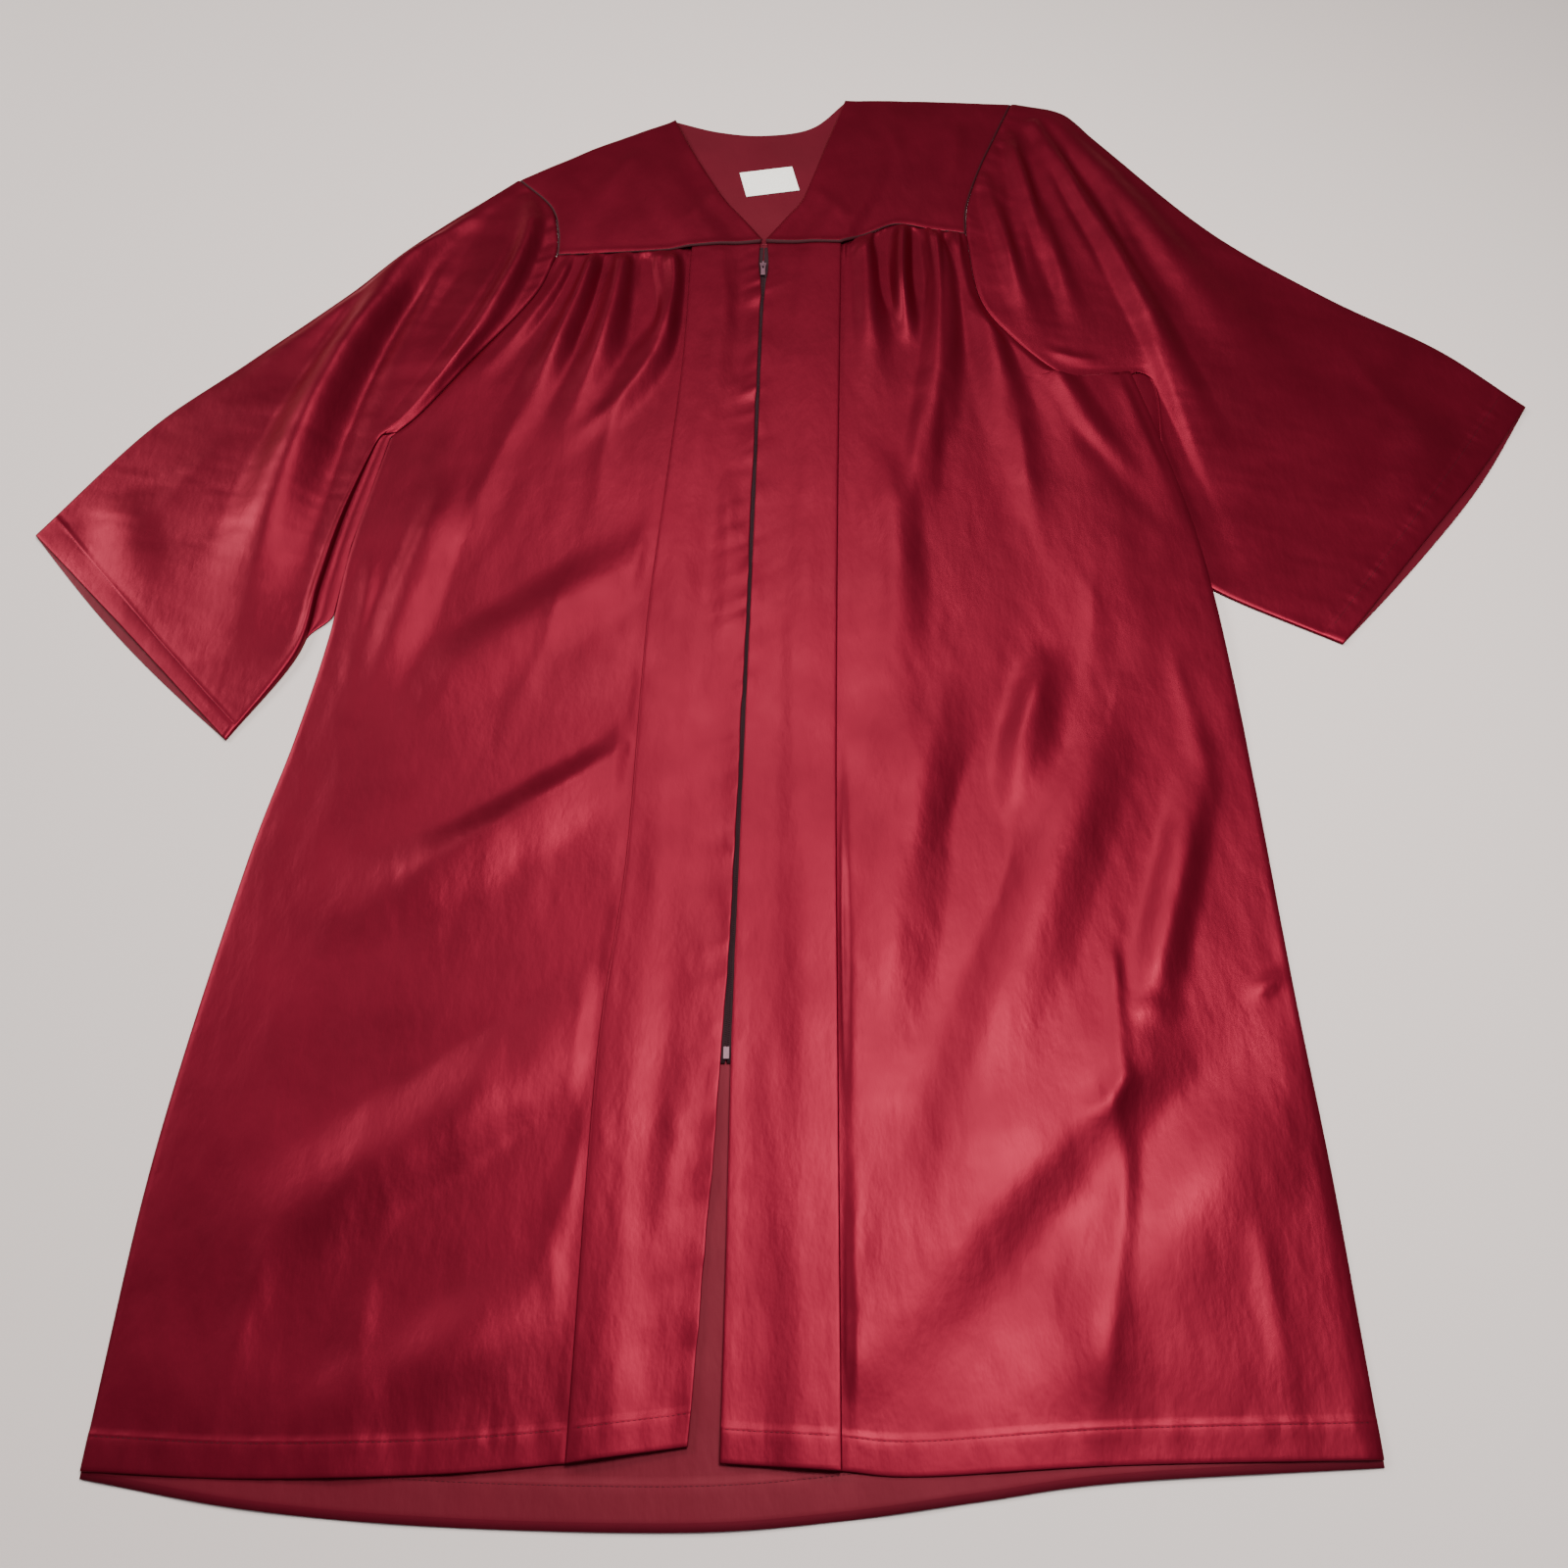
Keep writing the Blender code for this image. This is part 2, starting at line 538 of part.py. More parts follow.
def sleeve_net(side):
    """The sleeve's cloth seen from above: an even net that fills its outline without folding over itself.

    Its rows run from the armhole to the cuff, and its columns from the top edge to the edge under the arm.
    """
    turn = 1.0 if side == RIGHT else -1.0
    rows = np.linspace(0.0, 1.0, NET_ROWS)
    share = np.linspace(0.0, 1.0, NET_COLUMNS)
    armhole = along_line(whole_armhole(side), share * ARMHOLE_REACH[side])
    ahead = unit(np.gradient(armhole, axis=0))
    armhole += turn * SLEEVE_SEAM_GAP * np.column_stack([-ahead[:, 1], ahead[:, 0], ahead[:, 2]])
    cuff = point_on(CUFF[side], share)
    top = point_on(SLEEVE_TOP[side], rows)
    under = point_on(SLEEVE_UNDER[side], rows)
    top[0], under[0] = armhole[0], armhole[-1]
    top[-1], under[-1] = cuff[0], cuff[-1]
    net = patch(armhole, cuff, top, under, share, rows)
    for _ in range(NET_ROUNDS):
        below, above = net[:-2, 1:-1], net[2:, 1:-1]
        left, right = net[1:-1, :-2], net[1:-1, 2:]
        across, along = (right - left) / 2, (above - below) / 2
        skew = net[2:, 2:] - net[2:, :-2] - net[:-2, 2:] + net[:-2, :-2]
        a = (along * along).sum(axis=-1, keepdims=True)
        b = (across * along).sum(axis=-1, keepdims=True)
        c = (across * across).sum(axis=-1, keepdims=True)
        net[1:-1, 1:-1] = (a * (left + right) + c * (below + above) - b / 2 * skew) / (2 * (a + c))
    return net


def sleeve(side, material):
    """A bell sleeve as a flattened tube: the upper layer with its folds, and the lower one on the floor."""
    rows = np.array(SLEEVE_ROWS)
    net = sleeve_net(side)
    share = np.linspace(0.0, 1.0, NET_COLUMNS)
    place = rows * (NET_ROWS - 1)
    low = np.minimum(place.astype(int), NET_ROWS - 2)
    plan = net[low] + (place - low)[:, None, None] * (net[low + 1] - net[low])
    top, under = plan[:, 0], plan[:, -1]

    swell = np.sin(math.pi * rows)
    low_radius = SLEEVE_EDGE_RADIUS + SLEEVE_EDGE_SWELL[side] * swell
    top_radius = SLEEVE_EDGE_RADIUS + TOP_EDGE_SWELL * swell

    def layer(across, stretch=0.0):
        """Plan points of every row at shares between the top edge and the edge under the arm."""
        points = np.empty((len(rows), len(across), 3))
        for row in range(len(rows)):
            for axis in range(3):
                points[row, :, axis] = np.interp(across, share, plan[row, :, axis])
        reach = unit(plan[-1] - plan[-2])
        peek = np.array([np.interp(across, share, reach[:, axis]) for axis in range(3)]).T
        at_cuff = smooth((rows - 0.9) / 0.1)[:, None, None]
        return points + stretch * at_cuff * peek[None] * np.sin(math.pi * np.asarray(across))[None, :, None]

    shown = np.linspace(0.012, 0.988, SLEEVE_COLUMNS)
    hidden = np.linspace(0.988, 0.012, SLEEVE_UNDER_COLUMNS)
    upper = layer(shown)
    lower = layer(hidden, CUFF_PEEK)
    lower[..., 2] = BACK_LEVEL

    x, y = upper[..., 0], upper[..., 1]
    from_armhole = np.hypot(x - upper[0, None, :, 0], y - upper[0, None, :, 1])
    from_top = np.hypot(x - top[:, None, 0], y - top[:, None, 1])
    from_under = np.hypot(x - under[:, None, 0], y - under[:, None, 1])
    untucked = clear_of_body(x, y) if side == RIGHT else 1.0
    free = (
        (0.06 + 0.94 * smooth(from_armhole / SEAM_FOLD_REACH))
        * smooth(from_top / EDGE_FOLD_REACH)
        * smooth(from_under / EDGE_FOLD_REACH)
        * (1.0 - (1.0 - CUFF_FOLD_SHARE) * smooth((rows - 0.8) / 0.2))[:, None]
        * untucked
    )
    radius = top_radius[:, None] + (low_radius - top_radius)[:, None] * shown[None, :]
    puff = SLEEVE_PUFF * np.sin(math.pi * shown)[None, :] ** 2 * swell[:, None] ** 0.5 * untucked
    upper[..., 2] = BACK_LEVEL + 2 * radius + puff + free * fold_height(SLEEVE_FOLDS[side], x, y)

    def turn(start, end, outline, radius):
        """The rounded edge between the end of one layer and the start of the other."""
        outward = unit(outline * (1, 1, 0) - start * (1, 1, 0))
        middle = (start[:, 2] + end[:, 2]) / 2
        half = (start[:, 2] - end[:, 2]) / 2
        points = []
        for angle in (45, 0, -45):
            bend = math.radians(angle)
            point = outline - outward * (radius * (1 - math.cos(bend)))[:, None]
            point[:, 2] = middle + half * math.sin(bend)
            points.append(point)
        return points

    under_turn = turn(upper[:, -1], lower[:, 0], plan[:, -1], low_radius)
    top_turn = turn(upper[:, 0], lower[:, -1], plan[:, 0], top_radius)[::-1]
    grid = np.concatenate([upper, np.stack(under_turn, 1), lower, np.stack(top_turn, 1)], axis=1)
    in_hem = (rows >= SLEEVE_HEM_START)[:, None]
    turned = np.zeros(grid.shape[:2])
    turned[:, :SLEEVE_COLUMNS] = HEM_TURN
    if side == LEFT:
        grid = grid[:, ::-1]
        turned = turned[:, ::-1]
    return wall("sleeve_" + side, grid, material, raised=turned * in_hem, ring=True)


def zip_tape(side, material):
    """One half of the zip, under the band's inner edge."""
    away = 1.0 if side == RIGHT else -1.0
    along = np.linspace(0.0, 1.0, TAPE_ROWS)[:, None]
    centre = np.array(ZIP_END) + along * (np.array(ZIP_TOP) - np.array(ZIP_END))
    edges = [TAPE_PARTING, TAPE_WIDTH] if side == RIGHT else [TAPE_WIDTH, TAPE_PARTING]
    columns = [
        np.column_stack([centre[:, 0] + away * edge, centre[:, 1], np.full(TAPE_ROWS, TAPE_LEVEL)])
        for edge in edges
    ]
    return wall("zip_tape_" + side, np.stack(columns, axis=1), material, thickness=TAPE_THICKNESS)


def zip_x(y):
    share = (y - ZIP_END[1]) / (ZIP_TOP[1] - ZIP_END[1])
    return ZIP_END[0] + share * (ZIP_TOP[0] - ZIP_END[0])


def block(name, centre, size, material=None, bevel=0.0):
    """A box with rounded edges, as its own object."""
    bpy.ops.mesh.primitive_cube_add(size=1.0, location=(0, 0, 0))
    made = bpy.context.object
    made.name = name
    made.data.name = name
    for vertex in made.data.vertices:
        for axis in range(3):
            vertex.co[axis] = (vertex.co[axis] * size[axis] + centre[axis]) * MM
    for holder in list(made.users_collection):
        holder.objects.unlink(made)
    bpy.data.collections["Graduation gown"].objects.link(made)
    if material:
        made.data.materials.append(material)
    if bevel:
        rounding = made.modifiers.new("Rounded edges", "BEVEL")
        rounding.width = bevel * MM
        rounding.segments = 2
    return made


def apply_modifiers(made):
    bpy.context.view_layer.objects.active = made
    for modifier in list(made.modifiers):
        bpy.ops.object.modifier_apply(modifier=modifier.name)


def union(body, pieces):
    """Joins pieces to a body and removes them."""
    for piece in pieces:
        join = body.modifiers.new("Join", "BOOLEAN")
        join.operation = "UNION"
        join.object = piece
    apply_modifiers(body)
    for piece in pieces:
        bpy.data.objects.remove(piece)
    return body


def zip_slider(material):
    """The slider's plate, narrower towards its nose, with the bridge that holds the pull."""
    x = zip_x(SLIDER_Y)
    width, length, height = SLIDER_SIZE
    plate = block("zip_slider", (x, SLIDER_Y, SLIDER_BOTTOM + height / 2), SLIDER_SIZE, material, 0.4)
    for vertex in plate.data.vertices:
        if vertex.co.y < SLIDER_Y * MM:
            vertex.co.x = (x + (vertex.co.x / MM - x) * SLIDER_NOSE) * MM
    apply_modifiers(plate)
    plate_top = SLIDER_BOTTOM + height
    post_height = BRIDGE_OPENING + 2 * BRIDGE_THICKNESS
    pieces = []
    for end in (-1, 1):
        y = SLIDER_Y + end * (BRIDGE_HALF_LENGTH - BRIDGE_POST / 2)
        middle = plate_top + post_height / 2 - BRIDGE_THICKNESS
        pieces.append(block("post", (x, y, middle), (BRIDGE_WIDTH, BRIDGE_POST, post_height)))
    beam_level = plate_top + BRIDGE_OPENING + BRIDGE_THICKNESS / 2
    pieces.append(
        block("beam", (x, SLIDER_Y, beam_level), (BRIDGE_WIDTH * 0.98, 2 * BRIDGE_HALF_LENGTH - 0.1, BRIDGE_THICKNESS))
    )
    return union(plate, pieces)


def zip_pull(material):
    """The pull tab, lying towards the hem. Its cross bar turns under the slider's bridge."""
    x = zip_x(SLIDER_Y)
    z = PULL_PIVOT_Z
    eye_end = PULL_PIVOT_Y - PULL_EYE_LENGTH
    tab_length = PULL_LENGTH - PULL_EYE_LENGTH
    tab = block(
        "zip_pull_tab", (x, eye_end - tab_length / 2, z), (PULL_WIDTH, tab_length, PULL_THICKNESS), material, 0.35
    )
    apply_modifiers(tab)
    pieces = []
    bar_y = (PULL_PIVOT_Y + eye_end) / 2 - 0.4
    for end in (-1, 1):
        bar_x = x + end * (PULL_WIDTH - PULL_BAR_WIDTH) / 2
        pieces.append(block("bar", (bar_x, bar_y, z), (PULL_BAR_WIDTH * 0.98, PULL_EYE_LENGTH + 0.8, 0.9)))
    bpy.ops.mesh.primitive_cylinder_add(
        vertices=12,
        radius=PULL_BAR_RADIUS * MM,
        depth=PULL_WIDTH * MM,
        location=(x * MM, PULL_PIVOT_Y * MM, z * MM),
        rotation=(0, math.pi / 2, 0),
    )
    pieces.append(bpy.context.object)
    return union(tab, pieces)


def zip_bottom_stop(material):
    centre = (zip_x(STOP_Y), STOP_Y, ZIP_TOP_OF_TAPE + LAYER_GAP + STOP_SIZE[2] / 2)
    return block("zip_bottom_stop", centre, STOP_SIZE, material, 0.3)


def neck_label(material):
    level = CLOTH + LAYER_GAP + LABEL_THICKNESS / 2
    label = block("neck_label", (0, 0, 0), (*LABEL_SIZE, LABEL_THICKNESS), material, 0.3)
    cosine, sine = math.cos(LABEL_TURN), math.sin(LABEL_TURN)
    for vertex in label.data.vertices:
        x, y, z = vertex.co / MM
        vertex.co.x = (LABEL_CENTRE[0] + x * cosine - y * sine) * MM
        vertex.co.y = (LABEL_CENTRE[1] + x * sine + y * cosine) * MM
        vertex.co.z = (level + z) * MM
    return label


def new_material(settings):
    name, colour, roughness, metallic = settings
    material = bpy.data.materials.new(name)
    material.use_nodes = True
    shader = material.node_tree.nodes["Principled BSDF"]
    shader.inputs["Base Color"].default_value = (*colour, 1.0)
    shader.inputs["Roughness"].default_value = roughness
    shader.inputs["Metallic"].default_value = metallic
    return material


def clear_scene():
    for old in list(bpy.data.objects):
        bpy.data.objects.remove(old)


def stand_on_origin(pieces):
    """Moves every mesh so that the gown's box is centred on the origin and rests at z = 0."""
    corners = np.vstack([[vertex.co[:] for vertex in piece.data.vertices] for piece in pieces])
    low, high = corners.min(axis=0), corners.max(axis=0)
    shift = np.array([(low[0] + high[0]) / 2, (low[1] + high[1]) / 2, low[2]])
    for piece in pieces:
        for vertex in piece.data.vertices:
            vertex.co = [value - move for value, move in zip(vertex.co, shift)]
    return shift


def hang_on_pivot(pull, shift):
    """Puts the pull tab's origin on its hinge."""
    pivot = np.array([zip_x(SLIDER_Y), PULL_PIVOT_Y, PULL_PIVOT_Z]) * MM - shift
    for vertex in pull.data.vertices:
        vertex.co = [value - centre for value, centre in zip(vertex.co, pivot)]
    pull.location = pivot


def main():
    clear_scene()
    gown = bpy.data.collections.new("Graduation gown")
    bpy.context.scene.collection.children.link(gown)
    satin, tape, metal, label = (new_material(settings) for settings in (SATIN, TAPE, ZIP_METAL, LABEL))
    pieces = [back_panel(satin), back_yoke(satin)]
    for side in (LEFT, RIGHT):
        pieces += [front_panel(side, satin), front_yoke(side, satin), sleeve(side, satin), zip_tape(side, tape)]
    pull = zip_pull(metal)
    pieces += [neck_label(label), zip_slider(metal), pull, zip_bottom_stop(metal)]
    hang_on_pivot(pull, stand_on_origin(pieces))


main()
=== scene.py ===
"""A graduation gown laid flat on its back on a pale floor: satin cloth, gathers, hems, zip and blank label.

Tables are in millimetres on the floor, as the gown lies: x to the right as seen from above, y towards the
neck, z up. laid() moves them into the frame, whose origin is under the middle of the gown's box.
"""

import math
from collections import namedtuple

import bpy
import numpy as np
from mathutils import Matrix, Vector


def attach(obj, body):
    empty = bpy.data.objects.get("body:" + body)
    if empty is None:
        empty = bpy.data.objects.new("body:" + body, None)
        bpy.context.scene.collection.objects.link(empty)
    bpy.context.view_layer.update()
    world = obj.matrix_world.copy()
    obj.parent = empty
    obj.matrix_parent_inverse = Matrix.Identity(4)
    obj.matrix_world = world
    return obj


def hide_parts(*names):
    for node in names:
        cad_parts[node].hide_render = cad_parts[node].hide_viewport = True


bl_info = {
    "name": "Graduation Gown",
    "version": (1, 0, 0),
    "blender": (4, 5, 0),
    "location": "View3D > Sidebar > Gown",
    "description": "Builds a satin graduation gown laid flat, with its stage",
    "category": "Object",
}

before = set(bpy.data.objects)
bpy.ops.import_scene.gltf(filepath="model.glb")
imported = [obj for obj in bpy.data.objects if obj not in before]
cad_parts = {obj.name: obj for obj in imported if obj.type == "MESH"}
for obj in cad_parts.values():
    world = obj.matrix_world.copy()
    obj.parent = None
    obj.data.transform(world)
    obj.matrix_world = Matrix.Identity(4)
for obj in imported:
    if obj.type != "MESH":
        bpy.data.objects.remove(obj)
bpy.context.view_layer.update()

MM = 0.001
BODY = "gown"
LAID_ORIGIN = (18.468, 743.123, 0.0)

# Levels of the layers, at the middle of each cloth
CLOTH_GAP = 0.3
BACK_LEVEL = 0.6
FRONT_LEVEL = 2.1
HEM_LOFT = 1.0
HEM_LOFT_REACH = 90.0
BAND_INNER_LEVEL = 3.4
PLEAT_DEPTH = 18.0
PLEAT_RADIUS = 0.85
BAND_OUTER_LEVEL = FRONT_LEVEL + 4 * PLEAT_RADIUS
BAND_SHOULDER = 22.0
BAND_SLOPE = 26.0
NECK_LEVEL = 3.9
NECK_FOOT = (-22.0, 1215.0)
YOKE_RISE = 2.0
TUCK_LIFT = 3.8
TUCK_EXTRA = 1.5
TUCK_REACH = (110.0, 170.0)
TUCK_X = (258.0, 300.0)
TUCK_Y = (692.0, 732.0)
TUCK_TOP = 1014.0
HEM_TURN = 0.6

# Outlines: up from the hem, outwards from the bands, left to right on the back, and out along the sleeves.
# The shoulders run in to the neck, and the cuffs down from their top corner.
LEFT, RIGHT = "left", "right"
INNER_EDGE = {
    LEFT: [(-57, 97), (-50, 215), (-43, 340), (-38.5, 450), (-33, 650), (-28, 870), (-24.5, 1050),
           (-22.5, 1125), (-24.5, 1160), (-23.5, 1196)],
    RIGHT: [(-38, 88), (-37, 215), (-36.5, 340), (-34.5, 450), (-30, 650), (-25, 870), (-21.5, 1050),
            (-18.8, 1125), (-15.5, 1160), (-16.5, 1196)],
}
BAND_EDGE = {
    LEFT: [(-129, 88), (-128, 340), (-117, 493), (-113, 713), (-104, 870), (-95, 1025), (-92, 1188)],
    RIGHT: [(34, 84), (37, 340), (40, 561), (47, 850), (57, 1194)],
}
SIDE_SEAM = {
    LEFT: [(-416, 84), (-417, 272), (-400, 485), (-384, 600), (-374, 700), (-371, 800), (-356, 929)],
    RIGHT: [(356, 90), (360, 250), (360, 391), (362, 560), (361, 660), (355, 800), (338, 925), (323, 1008)],
}
LOWER_ARMHOLE = {
    LEFT: [(-356, 929), (-333, 958), (-296, 1025), (-244, 1117), (-227, 1179)],
    RIGHT: [(323, 1008), (292, 1003), (261, 1006), (220, 1056), (191, 1115), (184, 1212)],
}
UPPER_ARMHOLE = {
    LEFT: [(-227, 1179), (-229, 1215), (-240, 1255), (-276, 1298)],
    RIGHT: [(184, 1212), (188, 1255), (205, 1315), (226, 1372), (248, 1430)],
}
FRONT_HEM = {
    LEFT: [(-129, 88), (-209, 82), (-320, 80), (-416, 84)],
    RIGHT: [(34, 84), (81, 81), (198, 87), (356, 90)],
}
YOKE_SEAM = {
    LEFT: [(-92, 1188), (-140, 1184), (-190, 1181), (-227, 1179)],
    RIGHT: [(57, 1194), (88, 1212), (115, 1226), (150, 1218), (184, 1212)],
}
BAND_TOP = {
    LEFT: [(-23.5, 1196), (-92, 1188)],
    RIGHT: [(-16.5, 1196), (57, 1194)],
}
NECK_EDGE = {
    LEFT: [(-21.5, 1200), (-42, 1234), (-60, 1262), (-76, 1296), (-96, 1343), (-117, 1399)],
    RIGHT: [(-18.5, 1200), (3, 1236), (18, 1262), (31, 1304), (46, 1360), (67, 1434)],
}
SHOULDER = {
    LEFT: [(-276, 1298), (-200, 1351), (-117, 1399)],
    RIGHT: [(248, 1430), (158, 1434), (67, 1434)],
}
BACK_HEM = [(-416, 80), (-315, 64), (-200, 55), (-57, 52), (34, 58), (115, 68), (198, 78), (356, 86)]
BACK_NECK = [(-117, 1399), (-70, 1381), (-21, 1375), (30, 1388), (67, 1434)]
SLEEVE_TOP = {
    LEFT: [(-276, 1298), (-370, 1193), (-424, 1118), (-505, 1021), (-576, 936), (-645, 811)],
    RIGHT: [(248, 1430), (301, 1411), (333, 1362), (428, 1215), (528, 1114), (618, 1042), (682, 966)],
}
SLEEVE_UNDER = {
    LEFT: [(-354, 935), (-364, 930), (-371, 905), (-383, 831), (-390, 755), (-396, 685), (-438, 601)],
    RIGHT: [(324, 1010), (335, 1014), (343, 1003), (345, 975), (340, 925), (334, 850), (345, 778),
            (366, 748), (458, 695)],
}
CUFF = {
    LEFT: [(-645, 811), (-589, 755), (-515, 680), (-438, 601)],
    RIGHT: [(682, 966), (615, 880), (545, 798), (458, 695)],
}
CUFF_PEEK = 8.0
ARMHOLE_REACH = {LEFT: 0.985, RIGHT: 1.0}
NET_ROWS = 33
NET_COLUMNS = 49
NET_ROUNDS = 500

# Large folds: crest start, bend and end, height, half width at both ends, and share of height at the start
Fold = namedtuple("Fold", "start bend end height start_width end_width share")
FRONT_FOLDS = {
    LEFT: [
        Fold((-120, 1190), (-112, 1070), (-196, 915), 8.0, 12, 32, 0.9),
        Fold((-160, 1188), (-168, 1070), (-214, 880), 8.0, 14, 36, 0.9),
        Fold((-188, 1188), (-208, 1070), (-262, 890), 6.5, 11, 28, 0.9),
        Fold((-213, 1188), (-236, 1110), (-300, 975), 4.5, 10, 20, 0.9),
        Fold((-290, 900), (-312, 740), (-345, 600), 4.5, 26, 34, 0.0),
        Fold((-120, 790), (-225, 700), (-350, 590), 4.5, 44, 44, 0.4),
        Fold((-124, 585), (-235, 503), (-365, 430), 5.0, 46, 46, 0.4),
        Fold((-136, 372), (-258, 272), (-385, 195), 5.0, 52, 52, 0.4),
        Fold((-150, 190), (-235, 130), (-330, 85), 3.5, 40, 40, 0.4),
    ],
    RIGHT: [
        Fold((80, 1212), (84, 1110), (80, 960), 6.5, 13, 26, 0.9),
        Fold((122, 1232), (116, 1130), (121, 1040), 11.0, 12, 15, 0.9),
        Fold((147, 1228), (152, 1060), (106, 790), 10.0, 13, 30, 0.9),
        Fold((170, 1222), (195, 1050), (219, 800), 6.5, 12, 38, 0.9),
        Fold((190, 1110), (250, 1010), (308, 820), 6.0, 12, 28, 0.3),
        Fold((78, 940), (98, 770), (74, 590), 4.0, 26, 32, 0.0),
        Fold((216, 700), (190, 600), (150, 480), 4.5, 28, 32, 0.0),
        Fold((262, 640), (180, 450), (60, 190), 5.4, 34, 56, 0.1),
        Fold((326, 590), (276, 440), (238, 320), 4.4, 24, 26, 0.1),
        Fold((342, 322), (246, 212), (142, 84), 1.8, 50, 56, 0.3),
        Fold((356, 402), (340, 393), (318, 380), 1.8, 9, 8, 0.8),
    ],
}
SLEEVE_FOLDS = {
    LEFT: [
        Fold((-330, 1236), (-424, 970), (-452, 660), 13.0, 24, 50, 0.2),
        Fold((-258, 1268), (-282, 1090), (-398, 830), 9.0, 14, 24, 0.5),
        Fold((-300, 1268), (-420, 1110), (-560, 900), 4.0, 18, 46, 0.3),
        Fold((-585, 860), (-560, 790), (-520, 690), 3.5, 34, 40, 0.0),
    ],
    RIGHT: [
        Fold((206, 1300), (222, 1180), (240, 1050), 5.5, 12, 17, 0.5),
        Fold((240, 1370), (262, 1200), (286, 1060), 6.5, 13, 20, 0.5),
        Fold((268, 1390), (334, 1150), (402, 840), 8.5, 15, 26, 0.4),
        Fold((286, 1405), (380, 1190), (470, 930), 5.0, 16, 46, 0.3),
        Fold((600, 980), (560, 880), (500, 780), 3.5, 36, 40, 0.0),
    ],
}
LEDGE_SPAN = {LEFT: (700.0, 938.5), RIGHT: (905.0, 1012.0)}
LEDGE_GAP = {LEFT: 0.4, RIGHT: 7.0}
LEDGE_REACH = 26.0
SLEEVE_PUFF = 2.4
SLEEVE_EDGE_RADIUS = 0.9
SLEEVE_EDGE_SWELL = {LEFT: 2.8, RIGHT: 0.0}
TOP_EDGE_SWELL = 0.7
CUFF_FOLD_SHARE = 0.55
PANEL_LENGTH = 1110.0
SEAM_FOLD_REACH = 26.0
EDGE_FOLD_REACH = 22.0

